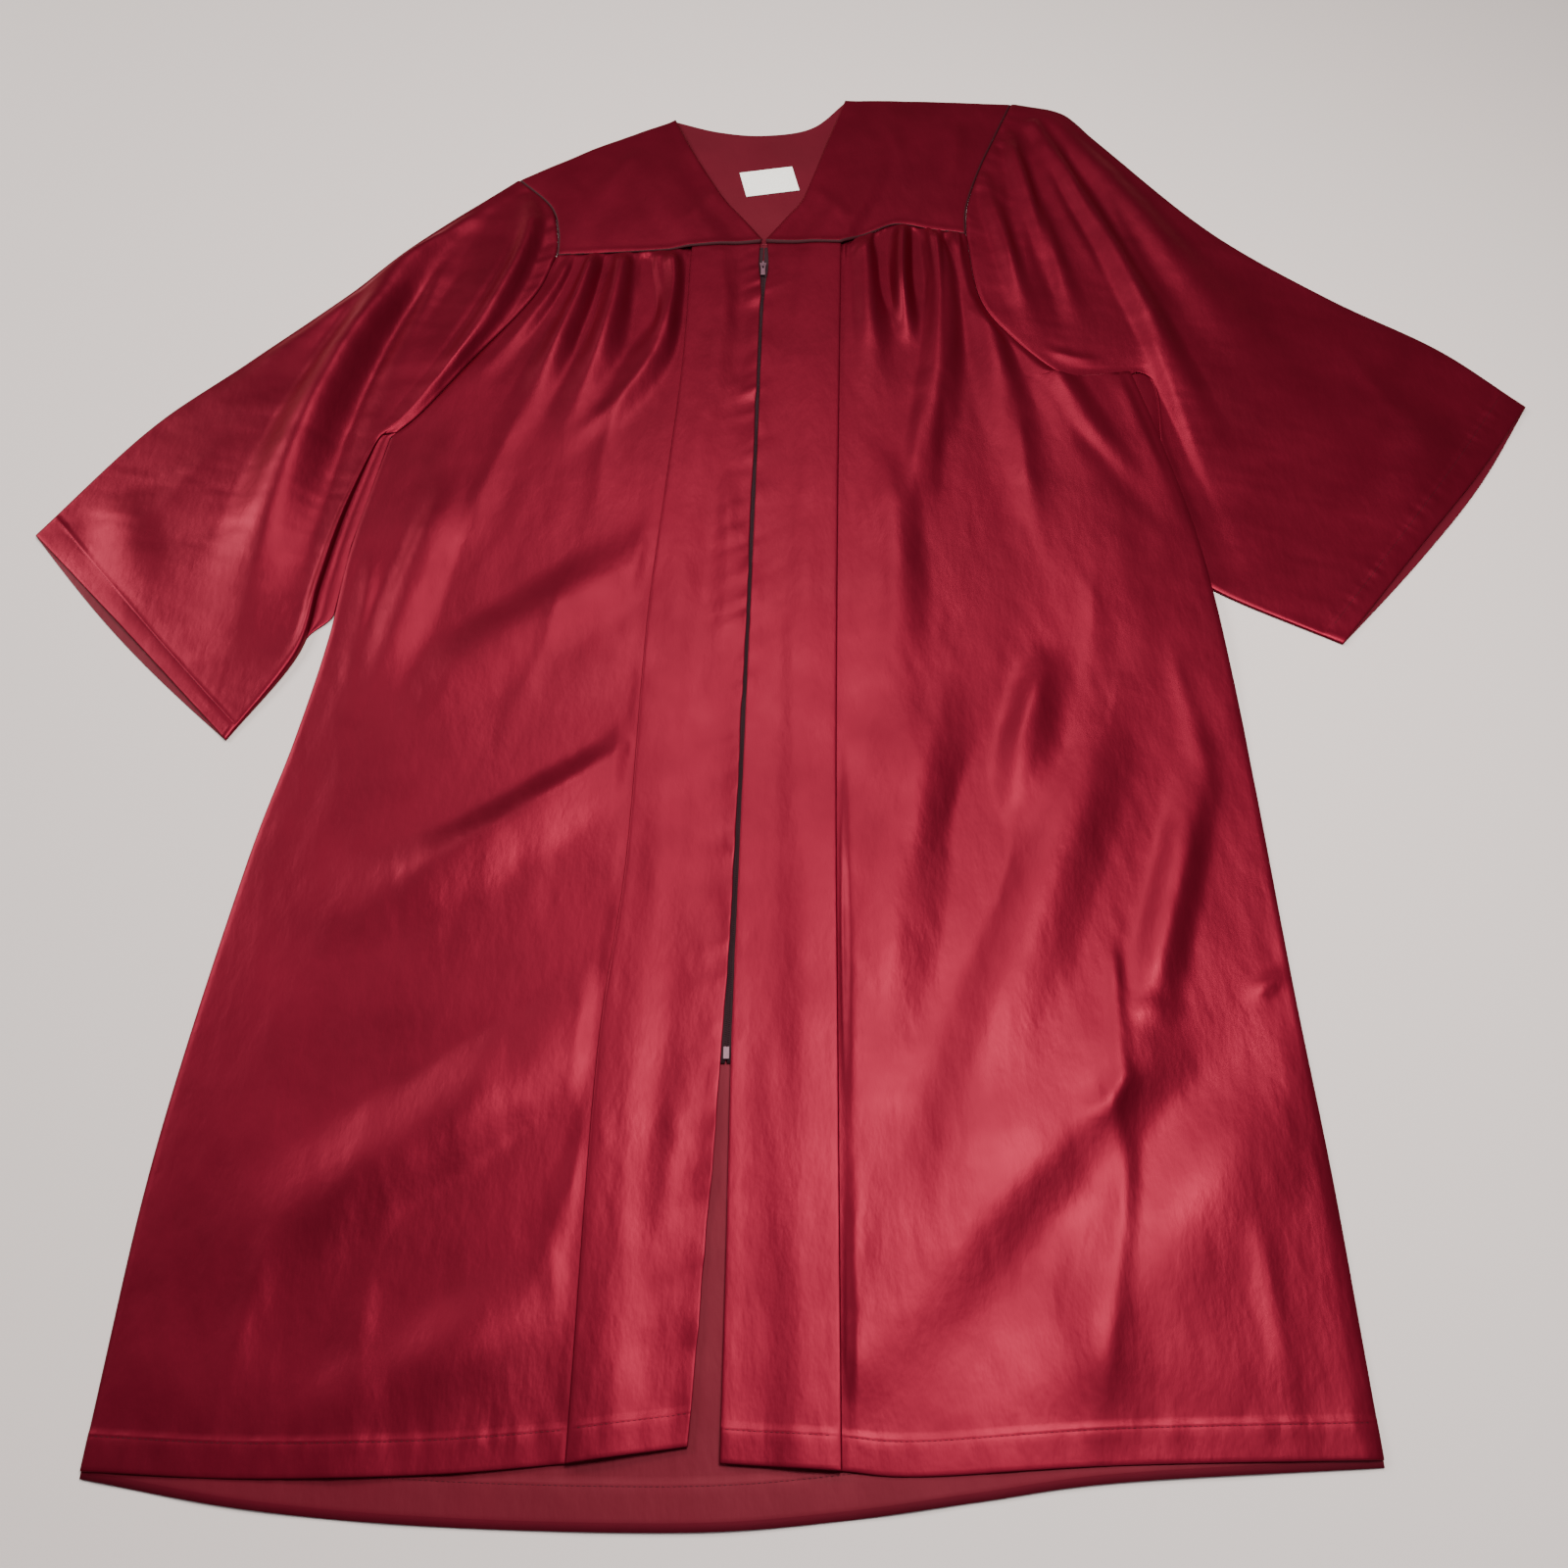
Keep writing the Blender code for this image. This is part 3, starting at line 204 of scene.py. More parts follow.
# Sharper creases over the large folds: crest, height, half width on its left and right, and how it starts
# and ends. A negative height is a valley. left and right are as seen when looking from start to end.
Crease = namedtuple("Crease", "start bend end height left right blunt_start blunt_end")
FRONT_CREASES = {
    LEFT: [
        Crease((-140, 1184), (-131, 1108), (-130, 1053), -3.2, 6, 5, 0.9, 0.1),
        Crease((-127, 1184), (-117, 1091), (-121, 1024), 2.6, 9, 5, 0.9, 0.2),
        Crease((-119, 1040), (-150, 975), (-208, 907), 3.0, 12, 8, 0.3, 0.0),
        Crease((-168, 1184), (-170, 1070), (-210, 893), 2.2, 8, 6, 0.9, 0.0),
        Crease((-178, 1182), (-188, 1080), (-205, 985), -2.6, 7, 6, 0.9, 0.1),
        Crease((-190, 1182), (-211, 1070), (-236, 985), 2.0, 7, 6, 0.9, 0.0),
        Crease((-152, 1184), (-150, 1110), (-156, 1040), -2.4, 6, 6, 0.9, 0.1),
        Crease((-204, 1181), (-222, 1100), (-262, 1010), -1.8, 6, 6, 0.9, 0.1),
        Crease((-118, 648), (-214, 564), (-332, 482), -3.0, 24, 26, 0.3, 0.0),
        Crease((-122, 450), (-232, 374), (-362, 292), -3.2, 24, 28, 0.3, 0.0),
        Crease((-130, 296), (-222, 232), (-322, 140), -2.6, 22, 26, 0.3, 0.1),
        Crease((-119, 596), (-214, 524), (-310, 462), 1.8, 10, 12, 0.5, 0.0),
        Crease((-136, 1010), (-162, 900), (-150, 800), 1.1, 9, 7, 0.0, 0.0),
        Crease((-236, 980), (-262, 880), (-292, 760), 1.4, 10, 8, 0.0, 0.0),
        Crease((-300, 860), (-322, 760), (-338, 640), 1.2, 9, 8, 0.0, 0.0),
        Crease((-352, 800), (-350, 700), (-362, 590), 1.3, 7, 9, 0.0, 0.0),
        Crease((-190, 760), (-196, 690), (-226, 610), 0.9, 8, 7, 0.0, 0.0),
        Crease((-128, 330), (-140, 250), (-170, 160), 1.0, 9, 8, 0.2, 0.0),
        Crease((-250, 250), (-262, 180), (-256, 92), 1.0, 10, 9, 0.0, 0.4),
        Crease((-330, 230), (-338, 160), (-346, 90), 0.9, 10, 9, 0.0, 0.4),
    ],
    RIGHT: [
        Crease((103, 1216), (98, 1137), (111, 1078), -4.2, 5, 5, 1.0, 0.1),
        Crease((118, 1222), (112, 1137), (118, 1066), 3.0, 6, 7, 1.0, 0.1),
        Crease((147, 1214), (149, 1100), (127, 991), 2.8, 6, 8, 1.0, 0.3),
        Crease((129, 1000), (116, 893), (106, 802), 1.6, 8, 9, 0.4, 0.0),
        Crease((160, 1212), (155, 1110), (150, 991), -3.4, 7, 6, 1.0, 0.2),
        Crease((150, 1000), (143, 917), (137, 812), -1.8, 9, 8, 0.4, 0.0),
        Crease((132, 1218), (132, 1150), (134, 1096), -3.0, 6, 6, 1.0, 0.1),
        Crease((176, 1210), (200, 1048), (219, 936), 2.0, 8, 9, 0.8, 0.0),
        Crease((188, 1128), (214, 1050), (222, 990), -2.0, 7, 7, 0.4, 0.0),
        Crease((200, 1092), (238, 990), (286, 818), 2.2, 8, 9, 0.2, 0.0),
        Crease((262, 944), (292, 883), (334, 806), -2.0, 9, 10, 0.1, 0.0),
        Crease((311, 1000), (324, 930), (352, 790), 1.8, 6, 10, 0.4, 0.0),
        Crease((215, 960), (215, 880), (223, 764), 1.6, 8, 9, 0.1, 0.0),
        Crease((72, 1200), (74, 1120), (80, 1040), 1.8, 8, 8, 1.0, 0.0),
        Crease((91, 1208), (90, 1130), (94, 1060), -1.8, 6, 6, 1.0, 0.0),
        Crease((251, 606), (184, 440), (58, 196), 1.4, 44, 20, 0.8, 0.4),
        Crease((172, 606), (122, 400), (36, 178), -3.4, 24, 30, 0.1, 0.4),
        Crease((134, 670), (86, 470), (54, 270), 6.2, 28, 44, 0.1, 0.2),
        Crease((328, 580), (277, 440), (236, 336), 1.3, 12, 14, 0.5, 0.2),
        Crease((292, 580), (262, 470), (224, 392), -1.4, 12, 18, 0.2, 0.0),
        Crease((237, 428), (232, 372), (229, 322), 1.8, 5, 6, 0.1, 0.6),
        Crease((230, 325), (214, 303), (188, 298), 1.5, 7, 6, 0.7, 0.1),
        Crease((288, 366), (172, 274), (46, 150), 5.6, 26, 56, 0.1, 0.6),
        Crease((312, 348), (190, 240), (62, 112), -1.6, 30, 22, 0.2, 0.6),
        Crease((342, 322), (246, 212), (142, 84), 3.4, 90, 40, 0.3, 0.3),
        Crease((234, 300), (208, 192), (184, 92), 2.2, 9, 24, 0.2, 0.5),
        Crease((330, 385), (344, 396), (360, 404), 0.9, 5, 5, 0.0, 0.9),
        Crease((212, 669), (184, 597), (160, 502), 1.6, 8, 10, 0.2, 0.0),
        Crease((181, 652), (119, 512), (66, 404), -2.0, 20, 16, 0.2, 0.0),
        Crease((60, 900), (72, 760), (52, 610), 1.2, 9, 8, 0.1, 0.0),
        Crease((262, 780), (250, 690), (238, 622), 1.0, 9, 8, 0.0, 0.0),
        Crease((316, 700), (322, 600), (336, 500), 1.1, 8, 8, 0.0, 0.0),
        Crease((214, 330), (222, 262), (206, 190), 1.2, 9, 8, 0.2, 0.0),
        Crease((300, 236), (306, 170), (298, 96), 1.0, 9, 9, 0.0, 0.4),
        Crease((238, 380), (262, 372), (300, 372), 1.2, 8, 8, 0.0, 0.0),
    ],
}
SLEEVE_CREASES = {
    LEFT: [
        Crease((-340, 1166), (-392, 960), (-398, 700), -5.0, 15, 17, 0.1, 0.4),
        Crease((-384, 1116), (-428, 930), (-450, 680), 2.4, 13, 20, 0.1, 0.4),
        Crease((-267, 1262), (-292, 1138), (-396, 821), 2.0, 10, 9, 0.6, 0.0),
        Crease((-330, 1200), (-352, 1080), (-386, 960), 1.8, 10, 10, 0.1, 0.0),
        Crease((-300, 1240), (-330, 1120), (-372, 1010), -2.2, 9, 9, 0.4, 0.0),
        Crease((-250, 1226), (-262, 1150), (-292, 1060), 1.8, 7, 7, 0.6, 0.0),
        Crease((-336, 1196), (-440, 1080), (-548, 940), 1.0, 10, 14, 0.2, 0.0),
        Crease((-500, 930), (-540, 850), (-566, 780), 0.9, 12, 12, 0.0, 0.3),
    ],
    RIGHT: [
        Crease((240, 1345), (242, 1276), (243, 1030), 2.4, 6, 6, 0.8, 0.1),
        Crease((273, 1350), (290, 1230), (341, 1069), 2.2, 7, 8, 0.5, 0.0),
        Crease((341, 1075), (362, 960), (381, 823), 2.0, 8, 10, 0.2, 0.0),
        Crease((317, 1330), (355, 1146), (370, 1038), 1.6, 8, 9, 0.3, 0.0),
        Crease((258, 1330), (262, 1180), (266, 1060), -2.4, 6, 6, 0.6, 0.1),
        Crease((300, 1330), (318, 1200), (342, 1110), -2.0, 8, 8, 0.3, 0.0),
        Crease((340, 1000), (353, 880), (373, 778), -4.2, 12, 18, 0.2, 0.2),
        Crease((222, 1280), (224, 1180), (226, 1090), 1.8, 6, 6, 0.8, 0.1),
        Crease((400, 1200), (450, 1080), (486, 960), 0.9, 12, 14, 0.0, 0.0),
        Crease((520, 1060), (560, 960), (586, 880), 0.8, 12, 12, 0.0, 0.3),
        Crease((252, 1040), (276, 1028), (306, 1030), 2.2, 6, 6, 0.2, 0.2),
    ],
}

# Gathers sewn into a seam: how many, their height and half width, and how far the shortest and longest run
Gather = namedtuple("Gather", "count low high narrow wide short long seed")
YOKE_GATHERS = {
    LEFT: Gather(30, 0.5, 1.7, 2.2, 4.6, 18, 150, 11),
    RIGHT: Gather(34, 0.5, 2.0, 2.0, 4.2, 18, 160, 23),
}
SLEEVE_GATHERS = {
    LEFT: Gather(26, 0.3, 1.3, 2.4, 5.0, 16, 90, 31),
    RIGHT: Gather(30, 0.3, 1.5, 2.4, 5.0, 16, 100, 47),
}

# How far a band may sink below its even level, how slack its inner edge is beside the zip, and softer lines
BAND_SINK = 0.7
BAND_SLACK = {LEFT: 1.7, RIGHT: 0.6}
SLACK_REACH = 13.0
BAND_CREASES = {
    LEFT: [
        Crease((-62, 1180), (-58, 1060), (-70, 930), 1.2, 8, 8, 0.6, 0.0),
        Crease((-44, 1170), (-40, 1040), (-44, 900), -1.0, 6, 6, 0.4, 0.0),
        Crease((-52, 900), (-48, 760), (-56, 600), 1.1, 9, 7, 0.0, 0.0),
        Crease((-76, 640), (-70, 500), (-82, 380), 0.8, 10, 8, 0.0, 0.0),
        Crease((-60, 360), (-78, 240), (-96, 130), 0.9, 12, 12, 0.0, 0.0),
    ],
    RIGHT: [
        Crease((20, 1180), (10, 1050), (4, 900), 0.9, 8, 8, 0.6, 0.0),
        Crease((2, 760), (6, 600), (-2, 440), 0.7, 8, 10, 0.0, 0.0),
        Crease((-14, 380), (-6, 260), (0, 150), 0.8, 10, 10, 0.0, 0.0),
    ],
}
YOKE_CREASES = {
    LEFT: [
        Crease((-150, 1350), (-176, 1300), (-196, 1230), 0.9, 10, 8, 0.0, 0.0),
        Crease((-60, 1290), (-88, 1250), (-108, 1206), 0.8, 9, 9, 0.0, 0.0),
        Crease((-216, 1290), (-206, 1250), (-204, 1200), 0.8, 7, 7, 0.2, 0.2),
    ],
    RIGHT: [
        Crease((108, 1400), (122, 1330), (118, 1250), 0.9, 10, 9, 0.0, 0.0),
        Crease((186, 1400), (180, 1330), (160, 1250), 0.9, 9, 9, 0.0, 0.2),
        Crease((30, 1290), (52, 1250), (76, 1220), 0.8, 8, 8, 0.0, 0.0),
    ],
}

# How finely the cloth is divided, in millimetres from its edges and between them
EDGE_STEPS = [0.0, 0.15, 0.4, 1.0]
HEM_STEPS = [0.0, 0.2, 0.5, 1.1, 3.0, 6.0, 9.5, 13.0, 16.0, 17.8, 18.6, 19.4, 20.4, 21.6, 24.0, 28.0]
YOKE_STEPS = [0.0, 0.3, 0.8, 1.6, 2.8, 4.2, 6.0, 8.0] + list(range(10, 80, 2))
BAND_EDGE_STEPS = [0.0, 0.2, 0.5, 1.1, 2.0, 3.5, 5.5, 8.0, 11.0]
ROW_STEP = 5.2
SPREAD_COLUMNS = 118
BAND_COLUMNS = 18
SLEEVE_COLUMNS = 110
SLEEVE_UNDER_COLUMNS = 44
SLEEVE_LENGTH = 480.0
HEM_STITCH = 18.6
SIDE_DROP = 0.85
EDGE_DROP = 0.7
EDGE_DROP_REACH = 1.6
SLEEVE_DROP = 0.8
SEAM_DROP_REACH = 1.8
GROUND_SINK = 0.85
SOFT_EDGE = 1.4
HEM_EDGE = 1.6
YOKE_LENGTH = 210.0
BACK_YOKE_LENGTH = 200.0
# How far from a yoke's seam and armhole the cloth is coloured dark, as a painted seam shadow
YOKE_PAINTED_SEAM_SHADOW = 0.6

# Zip and label
ZIP_TOP = (-20.0, 1190.0)
ZIP_END = (-39.8, 336.0)
TAPE_WIDTH = 13.0
TAPE_LEVEL = 2.0
TEETH_PITCH = 1.6
LABEL_CENTRE = (-15.2, 1296.0)
LABEL_SIZE = (56.0, 40.0)
LABEL_TURN = math.radians(11.0)
LABEL_LEVEL = 1.95

TAPE_HALF = 0.3
TEETH_LEVEL = 2.42
TOOTH_SIZE = (2.5, 0.8, 0.62)
TOOTH_SHIFT = 0.55
SLIDER_Y = 1160.0
STOP_Y = 343.0
STOP_LENGTH = 9.0
LABEL_HALF = 0.25
THREAD_SCALE = 900.0

# Floor in metres, and the camera: its place over the floor in millimetres, and its tilt below the horizon
FLOOR_SIZE = 8.0
FLOOR_LEVEL = -0.0002
CAMERA_PLACE = (0.0, 0.0, 920.0)
CAMERA_TILT = 58.606
CAMERA_LENS = 32.13


def laid(points):
    """Points of the tables, moved into the frame and into metres."""
    return (np.asarray(points, float) - LAID_ORIGIN) * MM


def smooth(value):
    value = np.clip(value, 0.0, 1.0)
    return value * value * (3.0 - 2.0 * value)


def unit(vectors):
    return vectors / np.maximum(np.linalg.norm(vectors, axis=-1, keepdims=True), 1e-9)


def hermite(start, leave, end, arrive, step):
    """Points between a start and an end on a smooth curve, from the directions at both."""
    return (
        start * (2 * step**3 - 3 * step**2 + 1)
        + leave * (step**3 - 2 * step**2 + step)
        + end * (3 * step**2 - 2 * step**3)
        + arrive * (step**3 - step**2)
    )


def plan_run(points):
    """The distance along a line at each of its points, as seen from above."""
    return np.concatenate([[0.0], np.cumsum(np.hypot(*np.diff(points[:, :2], axis=0).T))])


def run_along(points):
    """The distance along a line at each of its points."""
    return np.concatenate([[0.0], np.cumsum(np.linalg.norm(np.diff(points, axis=0), axis=1))])


def read_along(table, run, distance):
    """Rows of a table at distances along its line."""
    return np.column_stack([np.interp(distance, run, table[:, axis]) for axis in range(table.shape[1])])


def plan_length(points):
    """The length of a table's outline, straight from point to point."""
    return np.hypot(*np.diff(np.array(points, float), axis=0).T).sum()


def plan_distance(grid, line):
    """How far each point of a grid is from the matching point of a line, as seen from above."""
    return np.hypot(grid[..., 0] - line[..., 0], grid[..., 1] - line[..., 1])


def bump(distance, reach, power=2):
    """1 at a distance of 0, falling softly to nothing past the reach."""
    return np.exp(-((distance / reach) ** power))


def point_on(points, share, level=0.0):
    """Points at shares of the length of the smooth curve through the given ones."""
    points = np.array(points, float)
    ends = np.vstack([2 * points[0] - points[1], points, 2 * points[-1] - points[-2]])
    steps = np.linspace(0.0, 1.0, 33)[:, None]
    fine = []
    for before, start, end, after in zip(ends, ends[1:], ends[2:], ends[3:]):
        fine.append(hermite(start, (end - before) / 2, end, (after - start) / 2, steps))
    fine = np.vstack(fine)
    run = plan_run(fine)
    flat = read_along(fine, run, np.atleast_1d(share) * run[-1])
    return np.column_stack([flat, np.full(len(flat), level)])


def side_points(side, rows):
    """Points of a panel's side at shares of it: the side seam, then the armhole up to the yoke."""
    seam, armhole = plan_length(SIDE_SEAM[side]), plan_length(LOWER_ARMHOLE[side])
    corner = seam / (seam + armhole)
    low = point_on(SIDE_SEAM[side], np.clip(rows / corner, 0.0, 1.0))
    high = point_on(LOWER_ARMHOLE[side], np.clip((rows - corner) / (1.0 - corner), 0.0, 1.0))
    return np.where((rows <= corner)[:, None], low, high)


def patch(bottom, top, left, right, across, along):
    """A surface between four edges. Its rows run from bottom to top and its columns from left to right."""
    u = np.asarray(across)[None, :, None]
    v = np.asarray(along)[:, None, None]
    corners = (
        (1 - u) * (1 - v) * bottom[0] + u * (1 - v) * bottom[-1] + (1 - u) * v * top[0] + u * v * top[-1]
    )
    return (1 - v) * bottom[None] + v * top[None] + (1 - u) * left[:, None] + u * right[:, None] - corners


def crest_points(shape):
    """Points and steps along the curved crest of a fold or crease."""
    steps = np.linspace(0.0, 1.0, 33)
    start, bend, end = (np.array(p, float) for p in (shape.start, shape.bend, shape.end))
    control = 2 * bend - (start + end) / 2
    crest = (
        ((1 - steps) ** 2)[:, None] * start
        + (2 * steps * (1 - steps))[:, None] * control
        + (steps**2)[:, None] * end
    )
    return crest, steps


def nearest_on(crest, steps, x, y):
    """For each point, its distance from a crest, its side of it and the step of the nearest crest point."""
    nearest = ((x[..., None] - crest[:, 0]) ** 2 + (y[..., None] - crest[:, 1]) ** 2).argmin(axis=-1)
    spacing = np.gradient(crest, axis=0)
    ahead = unit(spacing)[nearest]
    off_x, off_y = x - crest[nearest, 0], y - crest[nearest, 1]
    side = ahead[..., 0] * off_y - ahead[..., 1] * off_x
    further = ahead[..., 0] * off_x + ahead[..., 1] * off_y
    beyond = np.where(nearest == 0, np.minimum(further, 0.0), 0.0)
    beyond = beyond + np.where(nearest == len(crest) - 1, np.maximum(further, 0.0), 0.0)
    nearest_spacing = np.linalg.norm(spacing, axis=-1)[nearest]
    step = steps[nearest] + (further - beyond) / nearest_spacing * (steps[1] - steps[0])
    return np.hypot(side, beyond), side, np.clip(step, 0.0, 1.0)


def fold_height(folds, x, y):
    """The height of the large folds over points of the plan."""
    total = np.zeros(np.shape(x))
    for fold in folds:
        away, _, along = nearest_on(*crest_points(fold), x, y)
        width = fold.start_width + (fold.end_width - fold.start_width) * along
        rise = fold.share + (1 - fold.share) * smooth(along / 0.3)
        fade = 1.0 - smooth((along - 0.45) / 0.55)
        across = np.clip(away / width, 0.0, 1.0)
        total += fold.height * rise * fade * np.cos(across * math.pi / 2) ** 2
    return total


def crease_height(creases, x, y):
    """The height of the sharper creases, each with its own width on its left and its right."""
    total = np.zeros(np.shape(x))
    for crease in creases:
        away, side, along = nearest_on(*crest_points(crease), x, y)
        widen = 0.8 + 0.7 * along
        width = np.where(side > 0, crease.left, crease.right) * widen
        rise = crease.blunt_start + (1 - crease.blunt_start) * smooth(along / 0.25)
        fade = crease.blunt_end + (1 - crease.blunt_end) * (1.0 - smooth((along - 0.5) / 0.5))
        total += crease.height * rise * fade * np.exp(-((away / width) ** 1.7))
    return total


def gather_height(gather, along_seam, away):
    """Small pleats that start in a seam, by the place along it and the distance from it, in millimetres."""
    rng = np.random.default_rng(gather.seed)
    length = along_seam.max()
    total = np.zeros(np.broadcast(along_seam, away).shape)
    for place in (np.arange(gather.count) + rng.uniform(0.1, 0.9, gather.count)) / gather.count:
        height = rng.uniform(gather.low, gather.high) * rng.choice([1.0, 1.0, -0.7])
        width = rng.uniform(gather.narrow, gather.wide)
        reach = gather.short + (gather.long - gather.short) * rng.random() ** 2.2
        drift = rng.normal(0.0, 0.05)
        from_crest = (along_seam - place * length - drift * away) / (width * (1 + 0.9 * away / reach))
        fade = smooth((away + 1.0) / 3.0) * (1 - smooth(away / reach))
        total += height * fade * np.exp(-(np.abs(from_crest) ** 1.8))
    return total


def mottled(x, y, across, along, seed):
    """Smooth unevenness from -1 to 1, with patches of the given size."""
    table = np.random.default_rng(seed).uniform(-1.0, 1.0, (61, 61))
    u, v = x / across + 500.0, y / along + 500.0
    column, row = np.floor(u).astype(int), np.floor(v).astype(int)
    s, t = smooth(u - column), smooth(v - row)
    low = table[row % 61, column % 61] * (1 - s) + table[row % 61, (column + 1) % 61] * s
    high = table[(row + 1) % 61, column % 61] * (1 - s) + table[(row + 1) % 61, (column + 1) % 61] * s
    return low * (1 - t) + high * t


def soft_wrinkles(x, y, seed, strength=1.0):
    """The slight waviness of satin that has been unfolded: long soft runs with finer ones over them."""
    turned_x = x + 0.25 * y
    return strength * (
        0.55 * mottled(turned_x, y, 34, 150, seed)
        + 0.30 * mottled(x - 0.15 * y, y, 17, 70, seed + 1)
        + 0.14 * mottled(turned_x, y, 8, 26, seed + 2)
    )


def tuck_lift(x, y):
    """How far the right side is held up by the sleeve under it."""
    return TUCK_LIFT * smooth((x - TUCK_X[0]) / (TUCK_X[1] - TUCK_X[0])) * smooth(
        (y - TUCK_Y[0]) / (TUCK_Y[1] - TUCK_Y[0])
    )


def front_tuck_lift(x, y):
    """How far the right front is held up there: as far as the back or more, and with gentler slopes."""
    return (TUCK_LIFT + TUCK_EXTRA) * smooth((x - TUCK_X[1]) / TUCK_REACH[0] + 1) * smooth(
        (y - TUCK_Y[1]) / TUCK_REACH[1] + 1
    )


def clear_of_body(x, y):
    """0 where the right sleeve is tucked under the side, rising to 1 a little outside it."""
    side = np.array(SIDE_SEAM[RIGHT], float)
    from_side = x - np.interp(y, side[:, 1], side[:, 0])
    return np.maximum(smooth((from_side - 2.0) / EDGE_FOLD_REACH), smooth((y - TUCK_TOP) / 6.0))


def hem_loft(y):
    return HEM_LOFT * (1.0 - smooth((y - 100.0) / HEM_LOFT_REACH))


def band_level(from_edge):
    """The middle of a band's top layer, by the distance from its folded outer edge."""
    drop = smooth((from_edge - BAND_SHOULDER) / BAND_SLOPE)
    return BAND_OUTER_LEVEL + (BAND_INNER_LEVEL - BAND_OUTER_LEVEL) * drop


def settled(height, floor, softness=0.6):
    """Heights kept above a floor, with a soft landing on it."""
    above = height - floor
    return floor + (above + np.sqrt(above * above + softness * softness)) / 2


def rounded(from_edge, radius=1.0):
    """The share of a cloth's thickness at a distance from its edge, so that the edge is round."""
    inside = 1.0 - np.clip(np.asarray(from_edge, float) / radius, 0.0, 1.0)
    return 0.3 + 0.7 * np.sqrt(1.0 - inside * inside)


def spaced(length, near_start, near_end, step):
    """Distances from 0 to length: the given ones near both ends, and even steps between them."""
    start, end = near_start[-1], length - near_end[-1]
    middle = np.linspace(start, end, int(round((end - start) / step)) + 1)[1:-1]
    return np.concatenate([near_start, middle, length - np.array(near_end[::-1])])


def eased(values, places):
    """Values at places between the rows of a table, on smooth curves through them."""
    low = np.clip(places.astype(int), 0, len(values) - 2)
    step = (places - low).reshape(-1, *[1] * (values.ndim - 1))
    padded = np.concatenate([2 * values[:1] - values[1:2], values, 2 * values[-1:] - values[-2:-1]])
    before, start, end, after = (padded[low + shift] for shift in range(4))
    return hermite(start, (end - before) / 2, end, (after - start) / 2, step)


def normals(grid, ring):
    """The outward direction at each point of a grid."""
    if ring:
        grid = np.concatenate([grid[:, -1:], grid, grid[:, :1]], axis=1)
    faces = unit(np.cross(grid[1:, 1:] - grid[:-1, :-1], grid[1:, :-1] - grid[:-1, 1:]))
    total = np.zeros(grid.shape)
    total[:-1, :-1] += faces
    total[:-1, 1:] += faces
    total[1:, :-1] += faces
    total[1:, 1:] += faces
    normal = unit(total)
    return normal[:, 1:-1] if ring else normal


# A cloth: its middle, half its thickness, what lies on it where it is doubled, its columns that show, the
# row of its hem stitches, whether its last column joins the first, and its points coloured as a painted seam
# shadow
Cloth = namedtuple("Cloth", "grid half raised shown stitch_row ring seam", defaults=(0.0, (), 0, False, None))


def facing_up(cloth, side):
    """A cloth whose columns run from left to right, so that its outer side is up."""
    if side == RIGHT:
        return cloth
    last = cloth.grid.shape[1] - 1
    turned = {
        name: getattr(cloth, name)[:, ::-1]
        for name in ("grid", "half", "raised", "seam")
        if isinstance(getattr(cloth, name), np.ndarray)
    }
    return cloth._replace(**turned, shown=[last - columns for columns in cloth.shown])


def shell(name, cloth, outside, inside, *shade):
    """A thin closed mesh round a cloth's middle, with its cut as its UV map, in metres."""
    grid = cloth.grid
    rows, columns = grid.shape[:2]
    normal = normals(grid, cloth.ring)
    outer = grid + normal * (cloth.half + cloth.raised)[..., None]
    inner = grid - normal * cloth.half[..., None]
    points = laid(np.concatenate([outer.reshape(-1, 3), inner.reshape(-1, 3)]))
    points[:, 2] = np.maximum(points[:, 2], 0.0)
    count = rows * columns
    faces_across = columns if cloth.ring else columns - 1
    row, column = np.mgrid[0 : rows - 1, 0:faces_across]
    beside = (column + 1) % columns
    near, far = row * columns, (row + 1) * columns
    quads = np.stack([near + column, near + beside, far + beside, far + column], axis=-1).reshape(-1, 4)
    along = np.arange(faces_across)
    next_along = (along + 1) % columns
    last = (rows - 1) * columns
    rims = [
        np.stack([along, along + count, next_along + count, next_along], axis=1),
        np.stack([last + next_along, last + next_along + count, last + along + count, last + along], axis=1),
    ]
    if not cloth.ring:
        up = np.arange(rows - 1) * columns
        rims.append(np.stack([up, up + columns, up + columns + count, up + count], axis=1))
        up = up + columns - 1
        rims.append(np.stack([up + count, up + columns + count, up + columns, up], axis=1))
    faces = np.concatenate([quads, quads[:, ::-1] + count, *rims])

    mesh = bpy.data.meshes.new(name)
    mesh.from_pydata(points.tolist(), [], faces.tolist())
    for material in (outside, inside, *shade):
        mesh.materials.append(material)
    finish = np.zeros(len(faces), dtype=np.int32)
    finish[len(quads) : 2 * len(quads)] = 1
    # Faces at points marked in cloth.seam get the third material, a dark colour painted as the seam's shadow
    if cloth.seam is not None:
        finish[: len(quads)][cloth.seam.ravel()[quads].any(axis=1)] = 2
    mesh.polygons.foreach_set("material_index", finish)

    steps_across = np.linalg.norm(np.diff(grid, axis=1, append=grid[:, :1]), axis=-1)[rows // 2]
    steps_along = np.linalg.norm(np.diff(grid, axis=0), axis=-1)[:, columns // 3]
    across = np.concatenate([[0.0], np.cumsum(steps_across)]) * MM
    along = np.concatenate([[0.0], np.cumsum(steps_along)]) * MM
    corner = faces % count
    u = across[corner % columns]
    wraps = (u.max(axis=1) - u.min(axis=1) > across[-1] / 2)[:, None] & (corner % columns == 0)
    u = np.where(wraps, across[-1], u)
    layer = mesh.uv_layers.new(name="Cloth")
    layer.data.foreach_set("uv", np.stack([u, along[corner // columns]], axis=-1).ravel())
    mesh.shade_smooth()
    made = bpy.data.objects.new(name, mesh)
    bpy.context.collection.objects.link(made)
    return made


